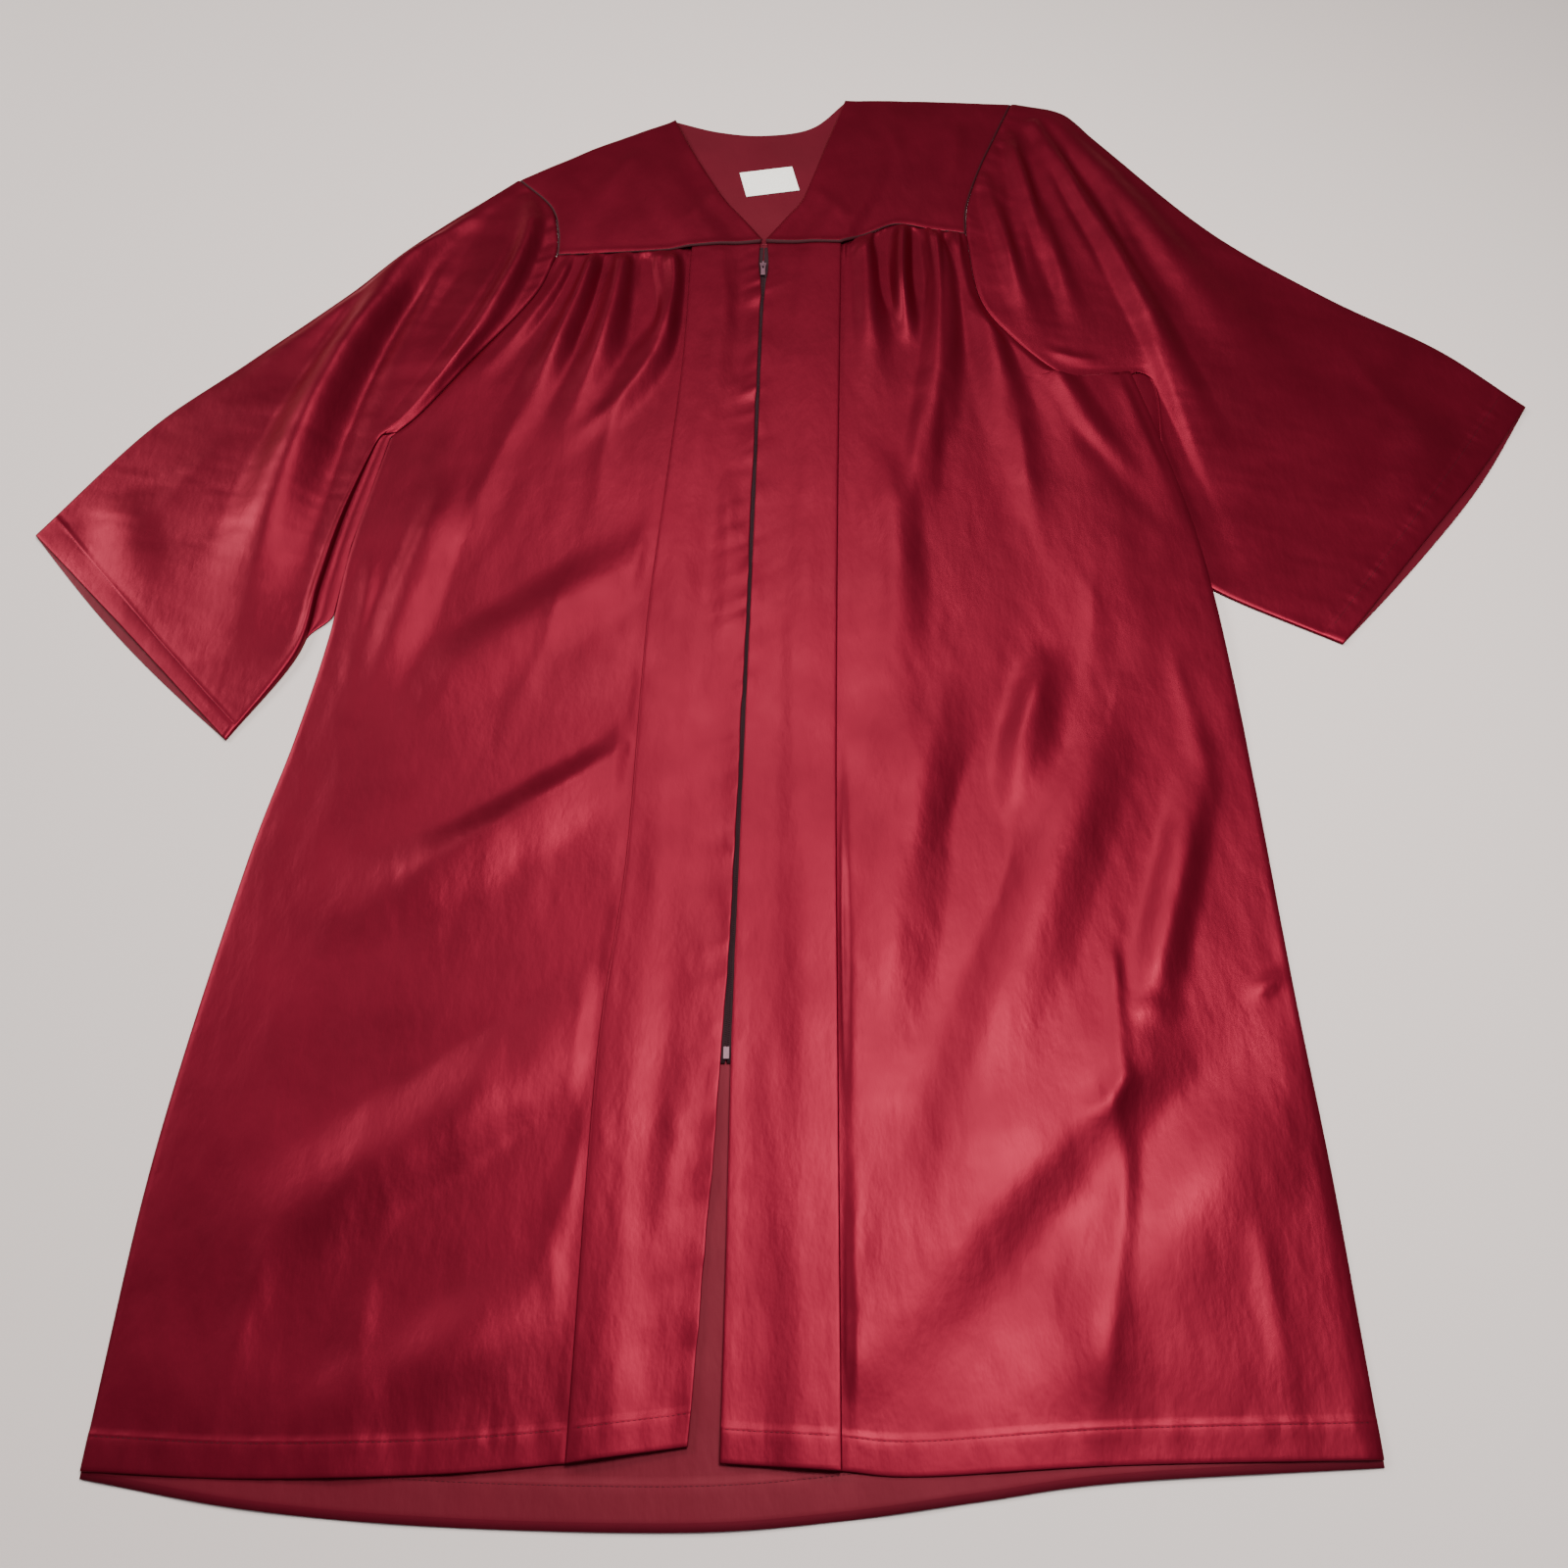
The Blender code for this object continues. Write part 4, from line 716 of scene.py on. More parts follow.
def front_cloth(side, settings):
    """One front: its band, the knife pleat under the band's edge and the gathered side."""
    away = spaced(PANEL_LENGTH, HEM_STEPS, YOKE_STEPS, ROW_STEP)
    rows = away / PANEL_LENGTH
    inner = point_on(INNER_EDGE[side], rows)
    edge = point_on(BAND_EDGE[side], rows)
    seam = side_points(side, rows)
    shares = np.linspace(0.0, 1.0, SPREAD_COLUMNS)
    hem, yoke_seam = point_on(FRONT_HEM[side], shares), point_on(YOKE_SEAM[side], shares)
    spread = patch(hem, yoke_seam, edge, seam, shares, rows)
    inward = unit(spread[:, -2] - spread[:, -1])
    rim = spread[:, -1:] + inward[:, None] * np.array(EDGE_STEPS[::-1])[None, :, None]
    spread = np.concatenate([spread[:, 1:-1], rim], axis=1)

    outward = unit(edge - inner)
    width = np.linalg.norm(edge - inner, axis=1)
    loft = hem_loft(edge[:, 1])
    from_inner = [np.full(len(rows), distance) for distance in BAND_EDGE_STEPS]
    shares = np.linspace(BAND_EDGE_STEPS[-1] / 72.0, 0.965, BAND_COLUMNS)[1:]
    from_inner += [width * share for share in shares]
    from_inner = np.stack(from_inner, axis=1)
    band = inner[:, None] + outward[:, None] * from_inner[..., None]
    from_edge = width[:, None] - from_inner
    x, y = band[..., 0], band[..., 1]
    seed = 5 if side == LEFT else 6
    slack = BAND_SLACK[side] * settings.wrinkles
    near_zip = np.exp(-from_inner / SLACK_REACH)
    waves = mottled(seed, y, 1.0, 21.0, seed) + 0.5 * mottled(0.0, y - 0.5 * x, 1.0, 9.0, seed + 7)
    band[..., 0] += 0.25 * slack * near_zip * waves
    level = band_level(from_edge)
    uneven = smooth((from_edge - 2.0) / 10.0) * (
        1.1 * slack * near_zip * waves
        + 0.8 * slack * soft_wrinkles(x, y, seed + 20)
        + settings.folds * crease_height(BAND_CREASES[side], x, y)
    )
    band[..., 2] = settled(level + uneven, level - BAND_SINK) + loft[:, None]
    fold = []

    def add(distance, level):
        point = edge - outward * distance
        point[:, 2] = level + loft
        fold.append(point)

    for angle in (90, 60, 30, 0, -30, -60, -90):
        bend = math.radians(angle)
        level = BAND_OUTER_LEVEL - PLEAT_RADIUS + PLEAT_RADIUS * math.sin(bend)
        add(PLEAT_RADIUS * (1 - math.cos(bend)), level)
    for angle in (90, 45, 0, -45, -90):
        bend = math.radians(angle)
        level = FRONT_LEVEL + PLEAT_RADIUS + PLEAT_RADIUS * math.sin(bend)
        add(PLEAT_DEPTH - PLEAT_RADIUS * (1 - math.cos(bend)), level)
    add(8.0, FRONT_LEVEL)
    add(1.5, FRONT_LEVEL)

    x, y = spread[..., 0], spread[..., 1]
    from_band = plan_distance(spread, edge[:, None])
    from_seam = plan_distance(spread, seam[:, None])
    from_yoke = (PANEL_LENGTH - away)[:, None]
    from_hem = away[:, None]
    near_hem = 0.35 + 0.65 * smooth((y - 90.0) / 60.0)
    free = (
        smooth((from_band - 3.0) / 14.0)
        * smooth(from_seam / EDGE_FOLD_REACH)
        * (0.06 + 0.94 * smooth(from_yoke / SEAM_FOLD_REACH))
        * near_hem
    )
    crisp = smooth((from_band - 2.0) / 8.0) * smooth(from_seam / 12.0)
    crisp = crisp * (0.15 + 0.85 * smooth(from_yoke / 14.0))
    lift = front_tuck_lift(x, y) if side == RIGHT else 0.0
    share = from_band / np.maximum(from_band + from_seam, 1e-6)
    height = settings.folds * (
        free * fold_height(FRONT_FOLDS[side], x, y)
        + crisp * near_hem * crease_height(FRONT_CREASES[side], x, y)
    )
    height += settings.gathers * smooth(from_band / 5.0) * smooth(from_seam / 6.0) * gather_height(
        YOKE_GATHERS[side], share * plan_length(YOKE_SEAM[side]), from_yoke
    )
    height += settings.wrinkles * crisp * soft_wrinkles(x, y, seed)
    hem_wave = settings.wrinkles * 1.1 * mottled(x, 0.0, 70.0, 1.0, seed + 40)
    height += hem_wave * np.exp(-from_hem / 40.0) * crisp
    ground = FRONT_LEVEL - GROUND_SINK
    spread[..., 2] = settled(FRONT_LEVEL + height, ground) + lift + hem_loft(y)
    spread[..., 2] -= SIDE_DROP * bump(from_seam, SEAM_DROP_REACH)

    grid = np.concatenate([band, np.stack(fold, axis=1), spread], axis=1)
    shown_band = len(from_inner[0])
    spread_start = shown_band + len(fold)
    x, y = grid[..., 0], grid[..., 1]
    grid[..., 2] -= EDGE_DROP * bump(from_yoke, 1.5)
    pucker = hem_pucker(from_hem, x, y, seed + 60)
    doubled = np.ones(grid.shape[:2])
    doubled[:, shown_band - 1 : spread_start] = 0.0
    grid[..., 2] += doubled * pucker * settings.wrinkles
    half = np.full(grid.shape[:2], settings.thickness / 2) * rounded(from_hem) * rounded(from_yoke)
    half[:, :shown_band] *= (1.0 + bump(from_inner, 9.0, 4)) * rounded(from_inner, SOFT_EDGE)
    half[:, spread_start:] *= rounded(from_seam)
    shown = [np.arange(2, shown_band), np.arange(spread_start, grid.shape[1] - 3)]
    cloth = Cloth(grid, half, doubled * hem_turn(from_hem), shown, stitch_row_of(away))
    return facing_up(cloth, side)


def stitch_row_of(from_hem):
    """The row of points that lies under a hem's stitches."""
    return int(np.abs(from_hem - HEM_STITCH).argmin())


def hem_turn(from_hem):
    """The second layer that lies on a cloth where its hem is turned up."""
    return HEM_TURN * (1.0 - smooth((from_hem - HEM_STITCH - 0.6) / 3.0)) * rounded(from_hem, HEM_EDGE)


def hem_pucker(from_hem, x, y, seed):
    """The groove of a hem's stitches and the small puckers that they draw in the cloth."""
    from_stitch = from_hem - HEM_STITCH
    groove = -0.28 * bump(from_stitch, 1.0) * (0.75 + 0.25 * mottled(x, y, 4.0, 90.0, seed))
    drawn = 0.45 * mottled(x, y * 0.2, 5.5, 30.0, seed + 1) * bump(from_stitch, 8.0)
    return groove + drawn


def yoke_cloth(side, settings):
    """One front yoke, from its seam up to the shoulder, between armhole and neck edge."""
    seed = 71 if side == LEFT else 72
    near_seam = [0.0, 0.2, 0.5, 1.0, 1.8, 3.0, 4.5, 6.5, 9.0]
    along = spaced(YOKE_LENGTH, near_seam, [0.0, 0.2, 0.5, 1.0, 2.0, 3.5, 6.0], 2.6)
    rows = along / along[-1]
    band_share = np.linspace(0.0, 1.0, 30)[:-1]
    side_share = np.linspace(0.0, 1.0, 60)
    gathered = point_on(YOKE_SEAM[side], side_share)
    bottom = np.vstack([point_on(BAND_TOP[side], band_share), gathered])
    bottom[:, 1] += CLOTH_GAP
    from_pleat = np.abs(bottom[:, 0] - gathered[0, 0])
    inner_level = band_level(from_pleat[: len(band_share)])
    past_pleat = smooth(from_pleat[len(band_share) :] / BAND_SLOPE)
    outer_level = FRONT_LEVEL + (BAND_OUTER_LEVEL - FRONT_LEVEL) * (1 - past_pleat)
    bottom[:, 2] = np.concatenate([inner_level, outer_level]) + 0.35
    run = plan_run(bottom)
    across = run / run[-1]
    neck = point_on(NECK_EDGE[side], rows, NECK_LEVEL)
    neck[0] = bottom[0]
    armhole = point_on(UPPER_ARMHOLE[side], rows, FRONT_LEVEL)
    armhole[0] = bottom[-1]
    top = point_on(SHOULDER[side], 1.0 - across, FRONT_LEVEL)
    neck[-1] = top[0]
    grid = patch(bottom, top, neck, armhole, across, rows)
    x, y = grid[..., 0], grid[..., 1]
    from_neck, from_armhole = plan_distance(grid, grid[:, :1]), plan_distance(grid, grid[:, -1:])
    from_bottom, from_shoulder = plan_distance(grid, grid[:1]), plan_distance(grid, grid[-1:])
    bulge = np.sin(math.pi * across)[None, :] * np.sin(math.pi * rows)[:, None]
    grid[..., 2] += YOKE_RISE * bulge
    soft = smooth(from_neck / 10.0) * smooth(from_armhole / 10.0) * smooth(from_bottom / 8.0)
    grid[..., 2] += settings.wrinkles * 0.75 * soft * soft_wrinkles(x, y, seed)
    grid[..., 2] += settings.folds * soft * crease_height(YOKE_CREASES[side], x, y)
    grid[..., 2] += 0.45 * bump(from_bottom - 4.0, 3.5)
    grid[..., 2] -= EDGE_DROP * bump(from_bottom, 0.5) + EDGE_DROP * bump(from_armhole, EDGE_DROP_REACH)
    grid[..., 2] -= SIDE_DROP * bump(from_shoulder, EDGE_DROP_REACH) * smooth(from_neck / 3.0)
    half = np.full(grid.shape[:2], settings.thickness / 2) * rounded(from_bottom) * rounded(from_armhole)
    half *= rounded(from_shoulder) * rounded(from_neck, SOFT_EDGE) * (1.0 + 0.9 * bump(from_neck, 9.0, 4))
    # Points near the seam and the armhole are coloured dark: a painted shadow of the seam
    seam = np.minimum(from_bottom, from_armhole) < YOKE_PAINTED_SEAM_SHADOW
    return facing_up(Cloth(grid, half, seam=seam), side)


def back_cloth(settings):
    """The back below its yoke, its inside up. It lies flat but where the right sleeve is tucked under it."""
    away = spaced(PANEL_LENGTH, HEM_STEPS, [0.0, 0.3, 0.8, 1.6, 3.0, 6.0, 12.0], 9.0)
    rows = away / PANEL_LENGTH
    inset = np.array([0.0, 0.2, 0.5, 1.0]) / 760.0
    across = np.concatenate([inset, np.linspace(0.004, 0.996, 170), 1.0 - inset[::-1]])
    left, right = side_points(LEFT, rows), side_points(RIGHT, rows)
    bottom = point_on(BACK_HEM, across)
    left[0], right[0] = bottom[0], bottom[-1]
    top = left[-1] + across[:, None] * (right[-1] - left[-1])
    grid = patch(bottom, top, left, right, across, rows)
    x, y = grid[..., 0], grid[..., 1]
    from_hem = away[:, None]
    from_side = np.minimum(x - grid[:, :1, 0], grid[:, -1:, 0] - x)
    ripple = np.exp(-from_hem / 55.0) * smooth(from_side / 12.0) * settings.wrinkles
    grid[..., 2] = BACK_LEVEL + tuck_lift(x, y)
    waves = 0.5 * ripple * (1.0 + mottled(x, y, 38.0, 90.0, 81))
    grid[..., 2] += waves + 0.3 * bump(from_side, EDGE_DROP_REACH)
    pucker = hem_pucker(from_hem, x, y, 85)
    grid[..., 2] = np.maximum(grid[..., 2] + 0.6 * settings.wrinkles * pucker, BACK_LEVEL * 0.6)
    half = settings.thickness / 2 * rounded(from_hem) * rounded(from_side) * rounded(PANEL_LENGTH - from_hem)
    return Cloth(grid, half, hem_turn(from_hem), [np.arange(4, len(across) - 4)], stitch_row_of(away))


def back_yoke_cloth(settings):
    """The back yoke, its inside up, as it shows in the neck."""
    along = spaced(BACK_YOKE_LENGTH, [0.0, 0.3, 0.8, 2.0], [0.0, 0.15, 0.4, 1.0, 2.0, 4.0, 7.0], 4.0)
    rows = along / along[-1]
    shoulder = np.linspace(0.0, 1.0, 30)
    neck = np.linspace(0.0, 1.0, 50)
    top = np.vstack(
        [
            point_on(SHOULDER[LEFT], shoulder[:-1], BACK_LEVEL),
            point_on(BACK_NECK, neck[:-1], BACK_LEVEL),
            point_on(SHOULDER[RIGHT], 1.0 - shoulder, BACK_LEVEL),
        ]
    )
    run = plan_run(top)
    across = run / run[-1]
    left = point_on(UPPER_ARMHOLE[LEFT], rows, BACK_LEVEL)
    right = point_on(UPPER_ARMHOLE[RIGHT], rows, BACK_LEVEL)
    bottom = left[0] + across[:, None] * (right[0] - left[0])
    bottom[:, 1] += CLOTH_GAP
    left[0], right[0] = bottom[0], bottom[-1]
    grid = patch(bottom, top, left, right, across, rows)
    x, y = grid[..., 0], grid[..., 1]
    from_top, from_bottom = plan_distance(grid, grid[-1:]), plan_distance(grid, grid[:1])
    from_side = np.minimum(plan_distance(grid, grid[:, :1]), plan_distance(grid, grid[:, -1:]))
    in_neck = bump(x - NECK_FOOT[0], 60.0, 4) * smooth((y - NECK_FOOT[1]) / 40.0)
    rise = settings.wrinkles * in_neck * 0.5 * (1.0 + soft_wrinkles(x, y, 91))
    grid[..., 2] += rise * smooth(from_top / 6.0)
    grid[..., 2] += 0.3 * bump(from_top, EDGE_DROP_REACH)
    half = settings.thickness / 2 * rounded(from_top, SOFT_EDGE) * rounded(from_bottom) * rounded(from_side)
    half *= 1.0 + 0.9 * bump(from_top, 8.0, 4)
    return Cloth(grid, half)


def armhole_line(side):
    """The whole armhole, from the shoulder to the underarm."""
    shares = np.linspace(0.0, 1.0, 60)
    upper, lower = point_on(UPPER_ARMHOLE[side], shares), point_on(LOWER_ARMHOLE[side], shares)
    return np.vstack([upper[::-1], lower[-2::-1]])


def sleeve_net(side):
    """The sleeve's cloth seen from above: an even net that fills its outline without folding over itself.

    Its rows run from the armhole to the cuff, and its columns from the top edge to the edge under the arm.
    """
    turn = 1.0 if side == RIGHT else -1.0
    rows = np.linspace(0.0, 1.0, NET_ROWS)
    share = np.linspace(0.0, 1.0, NET_COLUMNS)
    whole = armhole_line(side)
    run = run_along(whole)
    armhole = read_along(whole, run, share * ARMHOLE_REACH[side] * run[-1])
    ahead = unit(np.gradient(armhole, axis=0))
    armhole += turn * CLOTH_GAP * np.column_stack([-ahead[:, 1], ahead[:, 0], ahead[:, 2]])
    cuff = point_on(CUFF[side], share)
    top = point_on(SLEEVE_TOP[side], rows)
    under = point_on(SLEEVE_UNDER[side], rows)
    top[0], under[0] = armhole[0], armhole[-1]
    top[-1], under[-1] = cuff[0], cuff[-1]
    net = patch(armhole, cuff, top, under, share, rows)
    for _ in range(NET_ROUNDS):
        below, above = net[:-2, 1:-1], net[2:, 1:-1]
        left, right = net[1:-1, :-2], net[1:-1, 2:]
        across, along = (right - left) / 2, (above - below) / 2
        skew = net[2:, 2:] - net[2:, :-2] - net[:-2, 2:] + net[:-2, :-2]
        a = (along * along).sum(axis=-1, keepdims=True)
        b = (across * along).sum(axis=-1, keepdims=True)
        c = (across * across).sum(axis=-1, keepdims=True)
        net[1:-1, 1:-1] = (a * (left + right) + c * (below + above) - b / 2 * skew) / (2 * (a + c))
    return net


def under_ledge(side, under):
    """How far the lower layer reaches from under the arm towards the body, as it shows in the gap."""
    above = [point for point in LOWER_ARMHOLE[side][1:2] if point[1] > SIDE_SEAM[side][-1][1]]
    body = np.array(SIDE_SEAM[side] + above, float)
    to_body = np.interp(under[:, 1], body[:, 1], body[:, 0]) - under[:, 0]
    low, high = LEDGE_SPAN[side]
    within = smooth((under[:, 1] - low) / LEDGE_REACH) * smooth((high - under[:, 1]) / 3.0)
    return within * np.clip(to_body - LEDGE_GAP[side], -LEDGE_REACH, LEDGE_REACH)


def sleeve_cloth(side, settings):
    """A bell sleeve as a flattened tube: the upper layer with its folds, and the lower one on the floor."""
    seed = 101 if side == LEFT else 102
    away = spaced(SLEEVE_LENGTH, [0.0, 0.3, 0.8, 1.6, 2.8, 4.5, 6.5, 9.0, 12.0], HEM_STEPS, 3.0)
    rows = away / SLEEVE_LENGTH
    from_end = SLEEVE_LENGTH - away[:, None]
    net = sleeve_net(side)

    def layer(shares, stretch=0.0):
        """Points of every row at shares between the top edge and the edge under the arm."""
        wide = eased(net.swapaxes(0, 1), np.asarray(shares) * (NET_COLUMNS - 1)).swapaxes(0, 1)
        points = eased(wide, rows * (NET_ROWS - 1))
        reach = unit(points[-1] - points[-2])
        at_cuff = smooth((rows - 0.9) / 0.1)[:, None, None]
        return points + stretch * at_cuff * reach[None] * np.sin(math.pi * np.asarray(shares))[None, :, None]

    outline = layer(np.array([0.0, 1.0]))
    top, under = outline[:, 0], outline[:, 1]
    swell = np.sin(math.pi * rows)
    low_radius = SLEEVE_EDGE_RADIUS + SLEEVE_EDGE_SWELL[side] * swell
    top_radius = SLEEVE_EDGE_RADIUS + TOP_EDGE_SWELL * swell
    shown = np.linspace(0.008, 0.992, SLEEVE_COLUMNS)
    upper = layer(shown)
    lower = layer(np.linspace(0.992, 0.008, SLEEVE_UNDER_COLUMNS), CUFF_PEEK)
    lower[..., 2] = BACK_LEVEL

    x, y = upper[..., 0], upper[..., 1]
    from_armhole = plan_distance(upper, upper[:1])
    from_top, from_under = plan_distance(upper, top[:, None]), plan_distance(upper, under[:, None])
    untucked = clear_of_body(x, y) if side == RIGHT else 1.0
    near_cuff = (1.0 - (1.0 - CUFF_FOLD_SHARE) * smooth((rows - 0.8) / 0.2))[:, None]
    free = (
        (0.06 + 0.94 * smooth(from_armhole / SEAM_FOLD_REACH))
        * smooth(from_top / EDGE_FOLD_REACH)
        * smooth(from_under / EDGE_FOLD_REACH)
        * near_cuff
        * untucked
    )
    crisp = (0.1 + 0.9 * smooth(from_armhole / 10.0)) * smooth(from_top / 12.0)
    crisp = crisp * smooth(from_under / 12.0) * untucked
    radius = top_radius[:, None] + (low_radius - top_radius)[:, None] * shown[None, :]
    puff = SLEEVE_PUFF * np.sin(math.pi * shown)[None, :] ** 2 * swell[:, None] ** 0.5 * untucked
    height = settings.folds * (
        free * fold_height(SLEEVE_FOLDS[side], x, y)
        + crisp * near_cuff * crease_height(SLEEVE_CREASES[side], x, y)
    )
    cap = 1.0 - smooth((shown - 0.34) / 0.22)[None, :]
    armhole_run = np.linalg.norm(np.diff(armhole_line(side), axis=0), axis=1).sum()
    height += settings.gathers * cap * smooth(from_top / 5.0) * gather_height(
        SLEEVE_GATHERS[side], shown[None, :] * armhole_run, from_armhole
    )
    height += settings.wrinkles * crisp * soft_wrinkles(y, x, seed)
    upper[..., 2] = settled(BACK_LEVEL + 2 * radius + puff + height, BACK_LEVEL + 1.0, 0.4)
    upper[..., 2] -= SLEEVE_DROP * bump(from_armhole, SEAM_DROP_REACH)

    def turn(start, end, outline, radius):
        """The rounded edge between the end of one layer and the start of the other."""
        outward = unit((outline - start) * (1, 1, 0))
        middle = (start[:, 2] + end[:, 2]) / 2
        half = (start[:, 2] - end[:, 2]) / 2
        points = []
        for angle in (60, 35, 12, -12, -35, -60):
            bend = math.radians(angle)
            point = outline - outward * (radius * (1 - math.cos(bend)))[:, None]
            point[:, 2] = middle + half * math.sin(bend)
            points.append(point)
        return points

    ledge = under.copy()
    ledge[:, 0] += under_ledge(side, under)
    lower[:, 0] = 0.5 * (lower[:, 0] + ledge * (1, 1, 0) + (0, 0, BACK_LEVEL))
    under_turn = turn(upper[:, -1], lower[:, 0], under, low_radius)[:4]
    for share, level in ((0.04, 0.75), (0.5, 0.7), (0.97, 0.6), (1.0, 0.35), (0.97, 0.1)):
        point = under + share * (ledge - under)
        point[:, 2] = BACK_LEVEL + level
        under_turn.append(point)
    top_turn = turn(upper[:, 0], lower[:, -1], top, top_radius)[::-1]
    grid = np.concatenate([upper, np.stack(under_turn, 1), lower, np.stack(top_turn, 1)], axis=1)
    doubled = np.zeros(grid.shape[:2])
    doubled[:, :SLEEVE_COLUMNS] = 1.0
    x, y = grid[..., 0], grid[..., 1]
    grid[..., 2] += doubled * settings.wrinkles * hem_pucker(from_end, x + y, x - y, seed + 5)
    half = settings.thickness / 2 * rounded(from_end) * rounded(away[:, None])
    columns = [np.arange(3, SLEEVE_COLUMNS - 3)]
    raised = doubled * hem_turn(from_end)
    return facing_up(Cloth(grid, half, raised, columns, stitch_row_of(from_end), True), side)


def select_only(piece):
    """Makes one piece the only selected one, and the active one."""
    bpy.ops.object.select_all(action="DESELECT")
    piece.select_set(True)
    bpy.context.view_layer.objects.active = piece


def apply_modifiers(piece):
    select_only(piece)
    for modifier in list(piece.modifiers):
        bpy.ops.object.modifier_apply(modifier=modifier.name)


def settle_mesh(piece):
    """Puts a primitive's place, turn and size into its mesh."""
    select_only(piece)
    bpy.ops.object.transform_apply(location=True, rotation=True, scale=True)


def copies(name, pattern, places, ahead, up, material):
    """One mesh of many copies of a small pattern piece, each turned to its own direction."""
    points = np.array([vertex.co[:] for vertex in pattern.data.vertices])
    faces = [tuple(face.vertices) for face in pattern.data.polygons]
    beside = unit(np.cross(up, ahead))
    up = np.cross(ahead, beside)
    x, y, z = (points[None, :, axis : axis + 1] for axis in range(3))
    every = (x * ahead[:, None] + y * beside[:, None] + z * up[:, None] + places[:, None]).reshape(-1, 3)
    firsts = range(0, len(every), len(points))
    mesh = bpy.data.meshes.new(name)
    shifted = [[index + first for index in face] for first in firsts for face in faces]
    mesh.from_pydata(every.tolist(), [], shifted)
    mesh.materials.append(material)
    mesh.shade_smooth()
    made = bpy.data.objects.new(name, mesh)
    bpy.context.collection.objects.link(made)
    bpy.data.objects.remove(pattern)
    return made


def stitch_pattern(length, width):
    """One stitch, as a small rounded bar along X."""
    bpy.ops.object.select_all(action="DESELECT")
    bpy.ops.mesh.primitive_uv_sphere_add(segments=6, ring_count=5, radius=0.5, rotation=(0, math.pi / 2, 0))
    pattern = bpy.context.object
    pattern.scale = (width * 0.7, width, length)
    settle_mesh(pattern)
    return pattern


def stitches(name, lines, length, pitch, width, material):
    """Stitches along lines of points and their up directions, in the frame's metres."""
    places, aheads, ups = [], [], []
    for points, up in lines:
        run = run_along(points)
        at = np.arange(pitch, run[-1] - pitch, pitch)
        places.append(read_along(points, run, at))
        start, end = read_along(points, run, at - length / 2), read_along(points, run, at + length / 2)
        aheads.append(unit(end - start))
        ups.append(unit(read_along(up, run, at)))
    pattern = stitch_pattern(length, width)
    return copies(name, pattern, np.vstack(places), np.vstack(aheads), np.vstack(ups), material)


def outer_lines(cloth):
    """The lines of a cloth's hem stitches on its outer skin, with their up directions."""
    normal = normals(cloth.grid, cloth.ring)
    outer = cloth.grid + normal * (cloth.half + cloth.raised)[..., None]
    row = cloth.stitch_row
    return [(laid(outer[row, columns]), normal[row, columns]) for columns in cloth.shown]


# Materials, and the sockets of a node that mixes colours

MIX_A, MIX_B, MIX_RESULT = 6, 7, 2


def node_setup(name, colour, roughness, metallic=0.0, **sockets):
    """A new material with its constants on the shader's sockets, and a helper that adds linked nodes."""
    material = bpy.data.materials.new(name)
    material.use_nodes = True
    tree = material.node_tree
    shader = tree.nodes["Principled BSDF"]
    shader.inputs["Base Color"].default_value = (*colour[:3], 1.0)
    shader.inputs["Roughness"].default_value = roughness
    shader.inputs["Metallic"].default_value = metallic
    for socket, value in sockets.items():
        shader.inputs[socket.replace("_", " ").title().replace("Ior", "IOR")].default_value = value

    def add(kind, links=(), **values):
        node = tree.nodes.new(kind)
        for key, value in values.items():
            if key in node.inputs:
                node.inputs[key].default_value = value
            else:
                setattr(node, key, value)
        for source, output, target in links:
            tree.links.new(source.outputs[output], node.inputs[target])
        return node

    def feed(node, output, socket):
        tree.links.new(node.outputs[output], shader.inputs[socket])

    return material, add, feed


def on_cut(add):
    """The link that lays a texture on the cloth's cut."""
    return [(add("ShaderNodeUVMap", uv_map="Cloth"), "UV", "Vector")]


def in_place(add):
    """The link that gives a texture the piece's own coordinates."""
    return [(add("ShaderNodeTexCoord"), "Object", "Vector")]


def spread_over(add, source, low, high, start=0.3):
    """A node that spreads a noise over a range."""
    ends = {"From Min": start, "From Max": 0.7, "To Min": low, "To Max": high}
    return add("ShaderNodeMapRange", [(source, "Fac", "Value")], **ends)


def feed_bump(add, feed, source, output, strength, distance):
    """Puts a node's output on the shader as small bumps."""
    bumps = add("ShaderNodeBump", [(source, output, "Height")], Strength=strength, Distance=distance)
    feed(bumps, "Normal", "Normal")


def feed_shades(mixed, feed, colour, dark, light):
    """Puts a mix of a darker and a lighter shade of a colour on the shader."""
    for socket, shade in ((MIX_A, dark), (MIX_B, light)):
        mixed.inputs[socket].default_value = (*(min(1.0, shade * channel) for channel in colour[:3]), 1.0)
    feed(mixed, MIX_RESULT, "Base Color")


